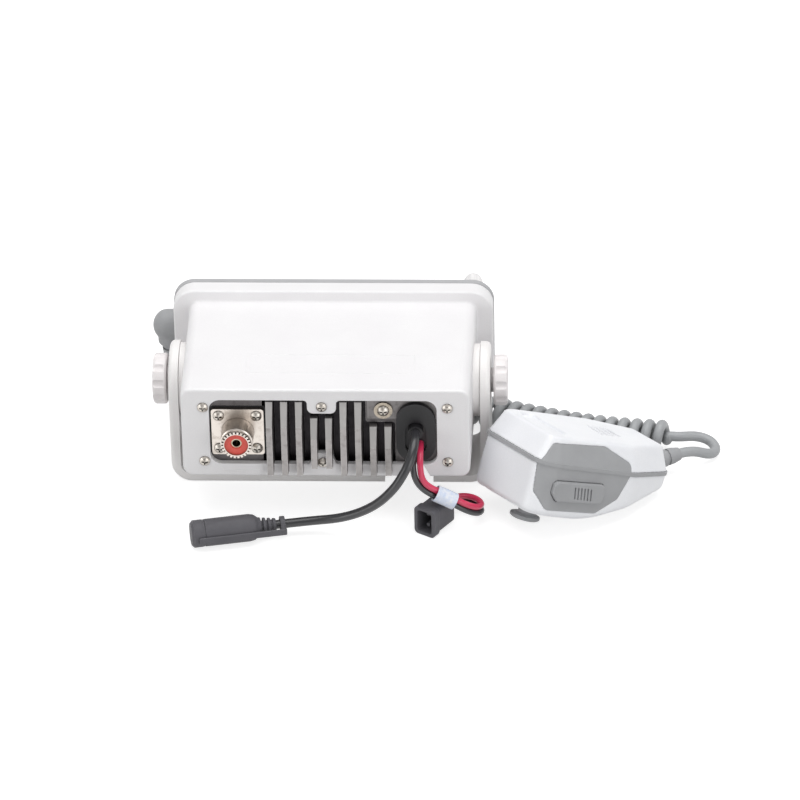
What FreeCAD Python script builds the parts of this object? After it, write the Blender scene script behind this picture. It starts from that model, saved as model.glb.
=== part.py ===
"""A compact fixed-mount marine radio in its gimbal bracket, with its hand microphone, cords and plugs.

Frame: the origin is the middle of the bracket's underside. +Z is up, the front panel looks to -Y, the
finned rear looks to +Y. The radio tilts in the bracket about the X axis line at the pivot height.
All sizes are millimetres.
"""

import FreeCAD, Part
import math
import os

import Sketcher

os.makedirs("parts", exist_ok=True)
doc = FreeCAD.newDocument("marine_radio")
sheet = doc.addObject("Spreadsheet::Sheet", "sizes")

# Driving dimensions
SIZES = {
    # bracket
    "pivot_height": 48.5,
    "strap_width": 38.0,
    "strap_thickness": 4.9,
    "arm_gap": 147.6,
    "bracket_bend": 5.5,
    "arm_edge_round": 2.4,
    "base_hole": 5.2,
    "base_hole_span_x": 116.0,
    "base_hole_span_y": 22.0,
    "base_notch_near": 26.5,
    "base_notch_far": 50.5,
    "base_notch_floor": -4.0,
    "stud": 6.0,
    "stud_play": 0.05,
    "arm_hole_play": 0.25,
    # rear case
    "rear_reach": 51.0,
    "case_depth": 83.0,
    "case_width": 139.4,
    "case_height": 48.8,
    "case_flare": 2.6,
    "case_corner": 5.0,
    "case_wall": 2.6,
    "rear_wall": 3.0,
    "rear_edge_round": 1.2,
    "flange_width": 158.4,
    "flange_height": 61.8,
    "flange_corner": 11.0,
    "flange_depth": 8.9,
    "flange_round": 1.0,
    "opening_width": 110.0,
    "opening_height": 36.0,
    "opening_shift": 1.1,
    "opening_corner": 5.5,
    "top_tab_width": 14.0,
    "top_tab_drop": 7.3,
    "low_tab_width": 8.6,
    "low_tab_rise": 6.2,
    "notch_near": 39.5,
    "notch_far": 46.5,
    "notch_flare": 6.0,
    "notch_depth": 12.0,
    "tilt_boss": 15.0,
    "tilt_boss_reach": 8.0,
    "insert_width": 10.0,
    "fit_gap": 0.1,
    # gasket and front bezel
    "gasket_depth": 3.1,
    "gasket_proud": 0.3,
    "bezel_depth": 13.5,
    "face_width": 148.0,
    "face_height": 46.0,
    "face_corner": 10.0,
    "face_round": 2.5,
    "bezel_wall": 2.8,
    "window_width": 60.0,
    "window_height": 24.0,
    "window_ledge": 2.8,
    "window_x": -27.0,
    "window_rise": 6.0,
    "window_thick": 1.6,
    "key_width": 8.4,
    "key_height": 5.2,
    "key_pitch": 11.0,
    "key_drop": 16.0,
    "key_gap": 0.3,
    "key_travel": 0.8,
    "key_proud": 1.2,
    "small_knob": 10.6,
    "small_knob_length": 18.0,
    "small_knob_x": -68.3,
    "small_knob_rise": 13.0,
    "large_knob": 19.0,
    "large_knob_length": 14.0,
    "large_knob_x": 60.5,
    "large_knob_rise": -4.0,
    "knob_gap": 0.4,
    "knob_shaft": 3.0,
    "grille_x": 28.5,
    "grille_width": 32.0,
    "grille_slot": 1.8,
    "grille_pitch": 4.2,
    "speaker_width": 34.0,
    "speaker_depth": 11.0,
    # heatsink chassis
    "plate_width": 128.0,
    "plate_height": 41.6,
    "plate_thick": 7.0,
    "fin_pitch": 7.16,
    "fin_first": 27.0,
    "fin_root": 4.2,
    "fin_taper": 3.5,
    "fin_floor": 3.5,
    "fin_reach": 4.3,
    "fin_overhang_gap": 0.25,
    "tray_thick": 2.6,
    "tray_length": 68.0,
    "screw_span_x": 118.0,
    "screw_span_z": 30.3,
    "mid_screw_span": 31.4,
    "mid_screw_x": 1.6,
    "case_screw": 2.5,
    "case_screw_head": 5.2,
    # antenna socket and ground screw
    "socket_x": 42.5,
    "socket_flange": 25.4,
    "socket_flange_thick": 2.0,
    "socket_barrel": 15.8,
    "socket_length": 12.4,
    "socket_rim": 14.6,
    "socket_bore": 11.6,
    "socket_notches": 24,
    "socket_screw_span": 18.2,
    "socket_gasket": 1.0,
    "contact_width": 5.0,
    "contact_bore": 3.9,
    "ground_x": -28.0,
    "ground_rise": 11.7,
    "ground_washer": 9.0,
    # cable grommet
    "grommet_x": -43.6,
    "grommet_width": 18.8,
    "grommet_height": 32.6,
    "grommet_neck": 3.2,
    "collar_width": 7.2,
    "collar_length": 3.4,
    "collar_rise": 2.2,
    "lead_drop": 6.4,
    # side knobs and tilt discs
    "tilt_disc": 35.6,
    "disc_gap": 0.2,
    "side_knob": 25.2,
    "side_knob_thick": 6.8,
    "side_knob_hub": 12.0,
    "side_knob_hub_gap": 1.3,
    "side_knob_play": 0.25,
    "side_knob_scoops": 10,
    "stud_reach": 13.0,
    # microphone cord boot
    "boot_rise": 0.5,
    "boot_y": -51.2,
    "boot_width": 13.6,
    "boot_end": 90.5,
    "relief_top": 10.6,
    "relief_tip": 7.0,
    "relief_length": 18.0,
    # cords
    "curly_wire": 5.0,
    "coil_radius": 5.7,
    "coil_pitch": 5.6,
    "coil_turns": 26,
    "cable_width": 4.5,
    "lead_width": 3.1,
    # accessory plug
    "plug_width": 13.4,
    "plug_length": 26.0,
    "plug_neck_length": 9.0,
    "plug_yaw": 12.7,
    "cap_length": 6.5,
    "cap_seat": 6.0,
    # power connector
    "connector_length": 18.0,
    "connector_width": 12.0,
    "connector_height": 15.4,
    "connector_wall": 1.9,
    "connector_depth": 12.0,
    "connector_yaw": 57.0,
    "sleeve_width": 8.4,
    # microphone
    "mic_x": -121.9,
    "mic_y": 32.8,
    "mic_z": 26.33,
    "mic_yaw": 29.5,
    "mic_pitch": 23.2,
    "mic_roll": 9.5,
    "mic_width": 56.0,
    "mic_length": 84.0,
    "mic_front_depth": 13.0,
    "mic_back_depth": 26.5,
    "mic_tail_depth": 7.5,
    "mic_tail_width": 34.0,
    "mic_top_width": 50.0,
    "mic_shoulder": 30.0,
    "mic_waist": -16.0,
    "mic_corner": 8.0,
    "mic_wall": 2.2,
    "mic_seal_thick": 1.8,
    "mic_seal_proud": 0.5,
    "grip_depth": 1.6,
    "ptt_length": 30.0,
    "ptt_height": 12.0,
    "ptt_proud": 2.0,
    "ptt_travel": 1.4,
    "ptt_gap": 0.35,
    "hang_button": 15.0,
    "hang_neck": 8.0,
    "hang_reach": 8.6,
    "mic_relief_length": 16.0,
}

for row, (alias, value) in enumerate(SIZES.items(), start=1):
    sheet.set("A%d" % row, alias)
    sheet.set("B%d" % row, str(value))
    sheet.setAlias("B%d" % row, alias)
doc.recompute()


def num(expression):
    """The value of an expression of the sheet, in millimetres, degrees or a count."""
    return float(sheet.evalExpression(str(expression)))


def vec(*expressions):
    """A vector from three expressions of the sheet."""
    return FreeCAD.Vector(*[num(expression) for expression in expressions])


# Places that several pieces share, as expressions of the sheet
PIVOT = "sizes.pivot_height"
REAR = "sizes.rear_reach"
WALL_IN = "(sizes.rear_reach - sizes.rear_wall)"
FLANGE_BACK = "(sizes.rear_reach - sizes.case_depth)"
FLANGE_FRONT = "(sizes.rear_reach - sizes.case_depth - sizes.flange_depth)"
BEZEL_BACK = "(%s - sizes.gasket_depth)" % FLANGE_FRONT
FACE = "(%s - sizes.bezel_depth)" % BEZEL_BACK
FACE_IN = "(%s + sizes.bezel_wall)" % FACE
ARM_IN = "(sizes.arm_gap / 2)"
ARM_OUT = "(sizes.arm_gap / 2 + sizes.strap_thickness)"
STRAP = "(sizes.strap_width / 2)"
OPEN_LOW = "(sizes.pivot_height + 0.55 - sizes.opening_height / 2)"
OPEN_HIGH = "(sizes.pivot_height + 0.55 + sizes.opening_height / 2)"
FIN_FLOOR = "(%s - sizes.fin_floor)" % WALL_IN
FIN_TIP = "(sizes.rear_reach + sizes.fin_reach)"
PLATE_FRONT = "(%s - sizes.plate_thick)" % WALL_IN
CASE_SIDE = "((sizes.case_width + sizes.case_flare * sizes.rear_reach / sizes.case_depth) / 2)"

PIECES = []


# Building blocks
def new_body(label):
    """An empty body that is one named piece."""
    body = doc.addObject("PartDesign::Body", label)
    body.Label = label
    PIECES.append(body)
    return body


def keep(obj, label):
    """Name a Part object as a piece."""
    obj.Label = label
    PIECES.append(obj)
    return obj


def add_outline(sketch, corners, rounds):
    """A closed outline whose corners are bound to the sheet, each rounded by its own radius or left sharp."""
    first = sketch.GeometryCount
    count = len(corners)
    points = [vec(a, b, 0) for a, b in corners]
    for k in range(count):
        sketch.addGeometry(Part.LineSegment(points[k], points[(k + 1) % count]), False)
    for k in range(count):
        sketch.addConstraint(Sketcher.Constraint("Coincident", first + k, 2, first + (k + 1) % count, 1))
    for k, (a, b) in enumerate(corners):
        for kind, expression, value in (("DistanceX", a, points[k].x), ("DistanceY", b, points[k].y)):
            index = sketch.addConstraint(Sketcher.Constraint(kind, -1, 1, first + k, 1, value))
            sketch.setExpression("Constraints[%d]" % index, str(expression))
    if not isinstance(rounds, (list, tuple)):
        rounds = [rounds] * count
    for k, radius in enumerate(rounds):
        if not radius:
            continue
        size = num(radius)
        before = (points[k - 1] - points[k]).normalize() * size + points[k]
        after = (points[(k + 1) % count] - points[k]).normalize() * size + points[k]
        arc = sketch.GeometryCount
        sketch.fillet(first + (k - 1) % count, first + k, before, after, size, True, True)
        index = sketch.addConstraint(Sketcher.Constraint("Radius", arc, size))
        sketch.setExpression("Constraints[%d]" % index, str(radius))


def add_circle(sketch, across, up, radius):
    """A circle whose centre and radius are bound to the sheet."""
    circle = Part.Circle(vec(across, up, 0), FreeCAD.Vector(0, 0, 1), num(radius))
    first = sketch.addGeometry(circle, False)
    for kind, expression in (("DistanceX", across), ("DistanceY", up)):
        index = sketch.addConstraint(Sketcher.Constraint(kind, -1, 1, first, 3, num(expression)))
        sketch.setExpression("Constraints[%d]" % index, str(expression))
    index = sketch.addConstraint(Sketcher.Constraint("Radius", first, num(radius)))
    sketch.setExpression("Constraints[%d]" % index, str(radius))


def new_sketch(body, plane, lift, shapes):
    """A sketch on one of the body's own planes, lifted along its normal, holding outlines and circles."""
    sketch = body.newObject("Sketcher::SketchObject", body.Label + "_sketch")
    origin = next(f for f in body.Origin.OriginFeatures if f.Role == plane + "_Plane")
    sketch.AttachmentSupport = [(origin, "")]
    sketch.MapMode = "FlatFace"
    sketch.setExpression("AttachmentOffset.Base.z", str(lift))
    for shape in shapes:
        if len(shape) == 3 and not isinstance(shape[0], (list, tuple)):
            add_circle(sketch, *shape)
        else:
            add_outline(sketch, *shape)
    return sketch


def box_corners(across, up, width, height):
    """The four corners of a rectangle about a centre."""
    left = "%s - (%s) / 2" % (across, width)
    right = "%s + (%s) / 2" % (across, width)
    low = "%s - (%s) / 2" % (up, height)
    high = "%s + (%s) / 2" % (up, height)
    return [(left, low), (right, low), (right, high), (left, high)]


def pad(body, plane, low, high, shapes, taper=None):
    """Fill the shapes between two coordinates along the plane's world axis."""
    lift = "-(%s)" % high if plane == "XZ" else low
    if taper:
        lift = "-(%s)" % low if plane == "XZ" else low
    feature = body.newObject("PartDesign::Pad", body.Label + "_pad")
    feature.Profile = new_sketch(body, plane, lift, shapes)
    feature.setExpression("Length", "(%s) - (%s)" % (high, low))
    if taper:
        feature.Reversed = plane == "XZ"
        feature.setExpression("TaperAngle", "-(%s)" % taper)
    doc.recompute()
    return feature


def pocket(body, plane, low, high, shapes):
    """Cut the shapes out between two coordinates along the plane's world axis."""
    lift = "-(%s)" % low if plane == "XZ" else high
    feature = body.newObject("PartDesign::Pocket", body.Label + "_pocket")
    feature.Profile = new_sketch(body, plane, lift, shapes)
    feature.setExpression("Length", "(%s) - (%s)" % (high, low))
    before = body.Shape.Volume
    doc.recompute()
    if body.Shape.Volume > before - 0.01:
        raise ValueError("a pocket in %s cuts nothing" % body.Label)
    return feature


def loft(body, plane, near, near_shape, far, far_shape, cut=False):
    """A loft, added or cut, between two outlines on parallel planes."""
    sign = "-(%s)" if plane == "XZ" else "%s"
    kind = "PartDesign::SubtractiveLoft" if cut else "PartDesign::AdditiveLoft"
    feature = body.newObject(kind, body.Label + "_loft")
    feature.Profile = new_sketch(body, plane, sign % near, [near_shape])
    feature.Sections = [new_sketch(body, plane, sign % far, [far_shape])]
    feature.Ruled = True
    doc.recompute()
    return feature


def turn(body, axis, profile, cut=False):
    """Revolve a closed profile of (place along the axis, radius) pairs about X, Y or Z through the origin."""
    kind = "PartDesign::Groove" if cut else "PartDesign::Revolution"
    feature = body.newObject(kind, body.Label + "_turn")
    if axis == "X":
        shape = ([(place, radius) for place, radius in profile], None)
    else:
        shape = ([(radius, place) for place, radius in profile], None)
    sketch = new_sketch(body, "XZ" if axis == "Z" else "XY", "0", [shape])
    feature.Profile = sketch
    feature.ReferenceAxis = (sketch, ["H_Axis" if axis == "X" else "V_Axis"])
    feature.Angle = 360
    doc.recompute()
    return feature


def around(body, features, axis, count):
    """Repeat features evenly about one of the body's axes."""
    pattern = body.newObject("PartDesign::PolarPattern", body.Label + "_round")
    pattern.Originals = features
    line = next(f for f in body.Origin.OriginFeatures if f.Role == axis + "_Axis")
    pattern.Axis = (line, [""])
    pattern.Angle = 360
    pattern.setExpression("Occurrences", count)
    body.Tip = pattern
    doc.recompute()
    return pattern


def along(body, features, axis, step, count, reverse=False):
    """Repeat features in a row along one of the body's axes."""
    pattern = body.newObject("PartDesign::LinearPattern", body.Label + "_row")
    pattern.Originals = features
    line = next(f for f in body.Origin.OriginFeatures if f.Role == axis + "_Axis")
    pattern.Direction = (line, [""])
    pattern.Reversed = reverse
    pattern.setExpression("Length", "(%s) * (%s - 1)" % (step, count))
    pattern.setExpression("Occurrences", str(count))
    body.Tip = pattern
    doc.recompute()
    return pattern


def soften(body, radius, choose):
    """Round the edges that the test picks, or leave them where none matches."""
    base = body.Tip
    names = ["Edge%d" % (k + 1) for k, edge in enumerate(base.Shape.Edges) if choose(edge)]
    if not names:
        raise ValueError("no edge to round on %s" % body.Label)
    feature = body.newObject("PartDesign::Fillet", body.Label + "_fillet")
    feature.Base = (base, names)
    feature.setExpression("Radius", str(radius))
    doc.recompute()
    return feature


def place(body, across="0", deep="0", up="0"):
    """Put a piece that was modelled about its own axis at its place in the radio."""
    body.setExpression("Placement.Base.x", str(across))
    body.setExpression("Placement.Base.y", str(deep))
    body.setExpression("Placement.Base.z", str(up))


def edge_box(edge):
    """The box of an edge."""
    return edge.BoundBox


def near(value, target, slack=0.05):
    """Whether two lengths agree."""
    return abs(value - target) < slack


def make_box(name, low, high):
    """A Part box between two corners given as expressions."""
    box = doc.addObject("Part::Box", name)
    for side, a, b in zip(("Length", "Width", "Height"), low, high):
        box.setExpression(side, "(%s) - (%s)" % (b, a))
    place(box, *low)
    return box


AXIS_TURNS = {
    "X": FreeCAD.Rotation(FreeCAD.Vector(0, 1, 0), 90),
    "Y": FreeCAD.Rotation(FreeCAD.Vector(1, 0, 0), -90),
    "Z": FreeCAD.Rotation(),
}


def make_rod(name, axis, radius, start, length):
    """A Part cylinder from a start point along one axis."""
    rod = doc.addObject("Part::Cylinder", name)
    rod.setExpression("Radius", str(radius))
    rod.setExpression("Height", str(length))
    rod.Placement = FreeCAD.Placement(FreeCAD.Vector(), AXIS_TURNS[axis])
    place(rod, *start)
    return rod


def fuse(name, shapes):
    """One solid from several."""
    joined = doc.addObject("Part::MultiFuse", name)
    joined.Shapes = shapes
    joined.Refine = True
    return joined


def cut(name, base, tool):
    """The base without the tool."""
    result = doc.addObject("Part::Cut", name)
    result.Base = base
    result.Tool = tool
    return result


def common(name, base, tool):
    """What two solids share."""
    result = doc.addObject("Part::Common", name)
    result.Base = base
    result.Tool = tool
    return result


def group(name, shapes):
    """Separate solids of one kind kept as one node."""
    bundle = doc.addObject("Part::Compound", name)
    bundle.Links = shapes
    return keep(bundle, name)


def pan_screw(name, seat, head, shank, reach):
    """A pan-head screw along +Y with a cross recess, seated at a point, its shank reaching forward."""
    across, deep, up = seat
    rise = "(%s) * 0.32" % head
    disc = make_rod(name + "_head", "Y", "(%s) / 2" % head, seat, rise)
    crown = doc.addObject("Part::Sphere", name + "_crown")
    crown.setExpression("Radius", "(%s) * 0.66" % head)
    place(crown, across, "%s - (%s) * 0.34" % (deep, head), up)
    cap = common(name + "_cap", disc, crown)
    stem = make_rod(name + "_stem", "Y", "(%s) / 2" % shank, (across, "%s - (%s)" % (deep, reach), up),
                    "(%s) + 0.2" % reach)
    solid = fuse(name + "_solid", [cap, stem])
    arm = "(%s) * 0.3" % head
    thin = "(%s) * 0.065" % head
    floor = "%s + (%s) * 0.1" % (deep, head)
    roof = "%s + (%s)" % (deep, head)
    flat = make_box(name + "_flat", ("%s - %s" % (across, arm), floor, "%s - %s" % (up, thin)),
                    ("%s + %s" % (across, arm), roof, "%s + %s" % (up, thin)))
    upright = make_box(name + "_upright", ("%s - %s" % (across, thin), floor, "%s - %s" % (up, arm)),
                       ("%s + %s" % (across, thin), roof, "%s + %s" % (up, arm)))
    return cut(name, solid, fuse(name + "_cross", [flat, upright]))


# Mounting bracket
def build_bracket():
    """A U strap: two round-topped arms on a flat base, with pivot holes, base holes and a cable notch."""
    body = new_body("mounting_bracket")
    top = "%s + sizes.strap_width / 2" % PIVOT
    outline = [("-" + ARM_OUT, "0"), (ARM_OUT, "0"), (ARM_OUT, top), (ARM_IN, top),
               (ARM_IN, "sizes.strap_thickness"), ("-" + ARM_IN, "sizes.strap_thickness"),
               ("-" + ARM_IN, top), ("-" + ARM_OUT, top)]
    outer = "sizes.bracket_bend + sizes.strap_thickness"
    rounds = [outer, outer, None, None, "sizes.bracket_bend", "sizes.bracket_bend", None, None]
    pad(body, "XZ", "-" + STRAP, STRAP, [(outline, rounds)])
    peak = num(top)
    soften(body, "sizes.strap_width / 2 - 0.1",
           lambda e: near(edge_box(e).ZMin, peak) and near(edge_box(e).ZMax, peak)
           and near(edge_box(e).XLength, num("sizes.strap_thickness")))
    pocket(body, "YZ", "-" + ARM_OUT + " - 1", ARM_OUT + " + 1",
           [("0", PIVOT, "sizes.stud / 2 + sizes.arm_hole_play")])
    half_x = "sizes.base_hole_span_x / 2"
    half_y = "sizes.base_hole_span_y / 2"
    holes = [(i + half_x, j + half_y, "sizes.base_hole / 2") for i in ("", "-") for j in ("", "-")]
    pocket(body, "XY", "-1", "sizes.strap_thickness + 1", holes)
    notch = [("-sizes.base_notch_far", "sizes.base_notch_floor"), ("-sizes.base_notch_near", "sizes.base_notch_floor"),
             ("-sizes.base_notch_near", STRAP + " + 1"), ("-sizes.base_notch_far", STRAP + " + 1")]
    pocket(body, "XY", "-1", "sizes.strap_thickness + 1", [(notch, ["4", "4", None, None])])
    reach = num(ARM_OUT)
    soften(body, "sizes.arm_edge_round",
           lambda e: edge_box(e).XMax - edge_box(e).XMin < 0.05 and near(abs(e.BoundBox.XMin), reach)
           and edge_box(e).DiagonalLength > 12)


# Rear case
def case_outline(flare, shrink, corner):
    """The case's rounded section, wider by the flare and smaller all round by the shrink."""
    width = "sizes.case_width + %s - 2 * (%s)" % (flare, shrink)
    height = "sizes.case_height + (%s) * 0.6 - 2 * (%s)" % (flare, shrink)
    return (box_corners("0", PIVOT, width, height), corner)


def flange_outline(shrink="0", corner="sizes.flange_corner"):
    """The flange's rounded section, smaller all round by the shrink."""
    width = "sizes.flange_width - 2 * (%s)" % shrink
    height = "sizes.flange_height - 2 * (%s)" % shrink
    return (box_corners("0", PIVOT, width, height), corner)


def opening_outline():
    """The rear opening with a screw tab from its top edge and a narrower one from its bottom edge."""
    left = "sizes.opening_shift - sizes.opening_width / 2"
    right = "sizes.opening_shift + sizes.opening_width / 2"
    tab = "sizes.top_tab_width / 2"
    low_tab = "sizes.low_tab_width / 2"
    middle = "sizes.mid_screw_x"
    corners = [
        (left, OPEN_LOW), ("%s - %s - 2" % (middle, low_tab), OPEN_LOW),
        ("%s - %s" % (middle, low_tab), "%s + sizes.low_tab_rise" % OPEN_LOW),
        ("%s + %s" % (middle, low_tab), "%s + sizes.low_tab_rise" % OPEN_LOW),
        ("%s + %s + 2" % (middle, low_tab), OPEN_LOW), (right, OPEN_LOW), (right, OPEN_HIGH),
        ("%s + %s" % (middle, tab), OPEN_HIGH), ("%s + %s" % (middle, tab), "%s - sizes.top_tab_drop" % OPEN_HIGH),
        ("%s - %s" % (middle, tab), "%s - sizes.top_tab_drop" % OPEN_HIGH), ("%s - %s" % (middle, tab), OPEN_HIGH),
        (left, OPEN_HIGH)]
    big = "sizes.opening_corner"
    return (corners, [big, "1.5", "1.5", "1.5", "1.5", big, big, "2", "3", "3", "2", big])


def screw_places():
    """Centres of the six rear screws, as expressions of (across, up)."""
    half_x = "sizes.screw_span_x / 2"
    half_z = "sizes.screw_span_z / 2"
    half_mid = "sizes.mid_screw_span / 2"
    corners = [("%s%s" % (i, half_x), "%s %s %s - 0.7" % (PIVOT, j, half_z)) for i in ("", "-") for j in ("+", "-")]
    middle = [("sizes.mid_screw_x", "%s %s %s - 0.7" % (PIVOT, j, half_mid)) for j in ("+", "-")]
    return corners + middle


def notch_outline(clear="0"):
    """The flared cable way in the bottom border of the case."""
    low = "%s - sizes.case_height / 2 - 4" % PIVOT
    return ([("-sizes.notch_far - sizes.notch_flare - (%s)" % clear, low),
             ("-sizes.notch_near + sizes.notch_flare + (%s)" % clear, low),
             ("-sizes.notch_near + (%s)" % clear, "%s + 1 + (%s)" % (OPEN_LOW, clear)),
             ("-sizes.notch_far - (%s)" % clear, "%s + 1 + (%s)" % (OPEN_LOW, clear))], None)


def build_rear_case():
    """A drafted housing open to the front, with a stepped flange, a rear opening and side bosses."""
    body = new_body("rear_case")
    corner = "sizes.case_corner"
    loft(body, "XZ", REAR, case_outline("0", "0", corner), FLANGE_BACK,
         case_outline("sizes.case_flare", "0", corner))
    rear = num(REAR)
    soften(body, "sizes.rear_edge_round", lambda e: near(e.BoundBox.YMin, rear) and near(e.BoundBox.YMax, rear))
    pad(body, "XZ", FLANGE_FRONT, FLANGE_BACK, [flange_outline()])
    back = num(FLANGE_BACK)
    wide = num("sizes.flange_width") / 2
    soften(body, "sizes.flange_round",
           lambda e: near(e.BoundBox.YMin, back) and near(e.BoundBox.YMax, back)
           and (abs(e.BoundBox.XMin) > wide - 12.5 and abs(e.BoundBox.XMax) > wide - 12.5
                or near(abs(e.BoundBox.ZMax - num(PIVOT)), num("sizes.flange_height") / 2)))
    inner = "sizes.case_corner - sizes.case_wall + 1"
    loft(body, "XZ", WALL_IN, case_outline("0", "sizes.case_wall", inner), FLANGE_FRONT,
         case_outline("sizes.case_flare", "sizes.case_wall", inner), cut=True)
    depth = "%s - sizes.tilt_boss_reach" % CASE_SIDE
    for low, high in ((depth, CASE_SIDE + " - 1"), ("-(%s - 1)" % CASE_SIDE, "-(%s)" % depth)):
        pad(body, "YZ", low, high, [("0", PIVOT, "sizes.tilt_boss / 2")])
    pocket(body, "YZ", "-%s - 3" % CASE_SIDE, "%s + 3" % CASE_SIDE, [("0", PIVOT, "sizes.insert_width / 2")])
    pocket(body, "XZ", WALL_IN + " - 1", REAR + " + 1", [opening_outline()])
    pocket(body, "XZ", REAR + " - sizes.notch_depth", REAR + " + 1", [notch_outline()])
    holes = [(x, z, "sizes.case_screw / 2 + 0.3") for x, z in screw_places()]
    pocket(body, "XZ", WALL_IN + " - 1", REAR + " + 1", holes)


# Heatsink chassis
FIN_TOP = "(%s - 0.6)" % OPEN_HIGH
FIN_BOTTOM = "(%s - sizes.case_height / 2 + 2.4)" % PIVOT
FIN_GROUPS = [
    # first fin, count, bottom, top, kink
    (0, 3, FIN_BOTTOM, FIN_TOP, "(%s + 5.4)" % PIVOT),
    (3, 2, "(%s - 18.2)" % PIVOT, "(%s + 9)" % PIVOT, "(%s - 1.3)" % PIVOT),
    (5, 2, FIN_BOTTOM, FIN_TOP, "(%s + 5.4)" % PIVOT),
    (7, 2, FIN_BOTTOM, "(%s + 4.5)" % PIVOT, "(%s - 5.8)" % PIVOT),
]


def fin_place(index):
    """The middle of a fin, counted from the antenna side."""
    return "sizes.fin_first - %d * sizes.fin_pitch" % index


def build_chassis():
    """The cast chassis: a rear plate with nine tapered fins, seats for socket and grommet, and a board tray."""
    body = new_body("heatsink_chassis")
    plate = box_corners("0", PIVOT, "sizes.plate_width", "sizes.plate_height")
    pad(body, "XZ", PLATE_FRONT, WALL_IN, [(plate, "2.4")])
    low = "%s - sizes.plate_height / 2" % PIVOT
    tray = box_corners("0", "%s + sizes.tray_thick / 2" % low, "sizes.plate_width - 14", "sizes.tray_thick")
    pad(body, "XZ", PLATE_FRONT + " - sizes.tray_length", PLATE_FRONT + " + 1", [(tray, None)])
    side = "sizes.fin_first + sizes.fin_root / 2 + 1.6"
    far = "%s - sizes.fin_root / 2 - 1.2" % fin_place(8)
    pad_edge = "%s - sizes.fin_root / 2 - 1.4" % fin_place(6)
    floor_low = OPEN_LOW + " - 1"
    well = [(far, floor_low), (side, floor_low), (side, OPEN_HIGH + " + 0.6"), (pad_edge, OPEN_HIGH + " + 0.6"),
            (pad_edge, "%s + 5" % PIVOT), (far, "%s + 5" % PIVOT)]
    pocket(body, "XZ", FIN_FLOOR, WALL_IN + " + 1", [(well, "1.2")])
    for first, count, bottom, top, kink in FIN_GROUPS:
        fin = box_corners(fin_place(first), "(%s + %s) / 2" % (bottom, top), "sizes.fin_root", "%s - %s" % (top, bottom))
        blade = pad(body, "XZ", FIN_FLOOR, FIN_TIP, [(fin, None)], taper="sizes.fin_taper")
        along(body, [blade], "X", "sizes.fin_pitch", count, reverse=True)
    for first, count, bottom, top, kink in FIN_GROUPS:
        slant = [(REAR + " - 1.2", top + " + 3"), (FIN_TIP, kink), (FIN_TIP + " + 3", kink), (FIN_TIP + " + 3", top + " + 3")]
        right = "%s - %d * sizes.fin_pitch - sizes.fin_root" % (fin_place(first), count - 1)
        pocket(body, "YZ", right, fin_place(first) + " + sizes.fin_root", [(slant, None)])
    clear = "sizes.fin_overhang_gap"
    under = [(FIN_FLOOR + " - 1", low + " - 10"), ("%s + %s" % (REAR, clear), low + " - 10"),
             ("%s + %s" % (REAR, clear), "%s + %s" % (OPEN_LOW, clear)), (WALL_IN, "%s + %s" % (OPEN_LOW, clear)),
             (WALL_IN, low), (FIN_FLOOR + " - 1", low)]
    pocket(body, "YZ", "-sizes.plate_width", "sizes.plate_width", [(under, None)])
    tab_half = "sizes.low_tab_width / 2 + 2.4"
    tab_room = box_corners("sizes.mid_screw_x", OPEN_LOW, "2 * (%s)" % tab_half, "2 * (sizes.low_tab_rise + 0.4)")
    pocket(body, "XZ", WALL_IN, REAR + " + sizes.fin_overhang_gap", [(tab_room, None)])
    head_room = [(x, z, "sizes.case_screw_head / 2 + 0.4") for x, z in screw_places()[5:]]
    pocket(body, "XZ", REAR, REAR + " + sizes.case_screw_head * 0.32 + 0.5", head_room)
    pocket(body, "XZ", PLATE_FRONT + " - 8", WALL_IN + " + 1", [notch_outline("0.4")])
    holes = [(x, z, "sizes.case_screw / 2 + 0.05") for x, z in screw_places()]
    pocket(body, "XZ", PLATE_FRONT + " + 1", WALL_IN + " + 1", holes)
    socket = [("sizes.socket_x", PIVOT, "sizes.socket_bore / 2 + 0.3")]
    pocket(body, "XZ", PLATE_FRONT + " - 1", WALL_IN + " + 1", socket)
    seat = box_corners("sizes.socket_x", PIVOT, "sizes.socket_flange + 2.2", "sizes.socket_flange + 2.2")
    pocket(body, "XZ", WALL_IN + " - sizes.socket_gasket", WALL_IN + " + 1", [(seat, "2.2")])
    span = "sizes.socket_screw_span / 2"
    taps = [("sizes.socket_x %s %s" % (i, span), "%s %s %s" % (PIVOT, j, span), "1.3") for i in "+-" for j in "+-"]
    pocket(body, "XZ", PLATE_FRONT + " + 1", WALL_IN + " + 1", taps)
    pocket(body, "XZ", PLATE_FRONT + " + 1", WALL_IN + " + 1", [("sizes.ground_x", "%s + sizes.ground_rise" % PIVOT, "1.55")])
    way = box_corners("sizes.grommet_x", PIVOT, "sizes.grommet_width - 2 * sizes.grommet_neck",
                      "sizes.grommet_height - 2 * sizes.grommet_neck")
    pocket(body, "XZ", PLATE_FRONT + " - 1", WALL_IN + " + 1", [(way, "sizes.grommet_width / 2 - sizes.grommet_neck - 0.1")])


# Trim gasket, front bezel and what it carries
def build_trim_gasket():
    """The grey band squeezed between the flange and the bezel."""
    body = new_body("trim_gasket")
    pad(body, "XZ", BEZEL_BACK, FLANGE_FRONT,
        [flange_outline("-sizes.gasket_proud", "sizes.flange_corner"), flange_outline("9.4", "4")])


KEY_ROW = "(%s - sizes.key_drop)" % PIVOT
KEYS = 6
BOARD_FRONT = "(%s + 8)" % FACE_IN
MEMBRANE_FRONT = "(%s - 1.1)" % BOARD_FRONT


def key_place(index):
    """The middle of a key, counted from the small knobs' side."""
    return "sizes.window_x + %.1f * sizes.key_pitch" % (index - (KEYS - 1) / 2)


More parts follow.
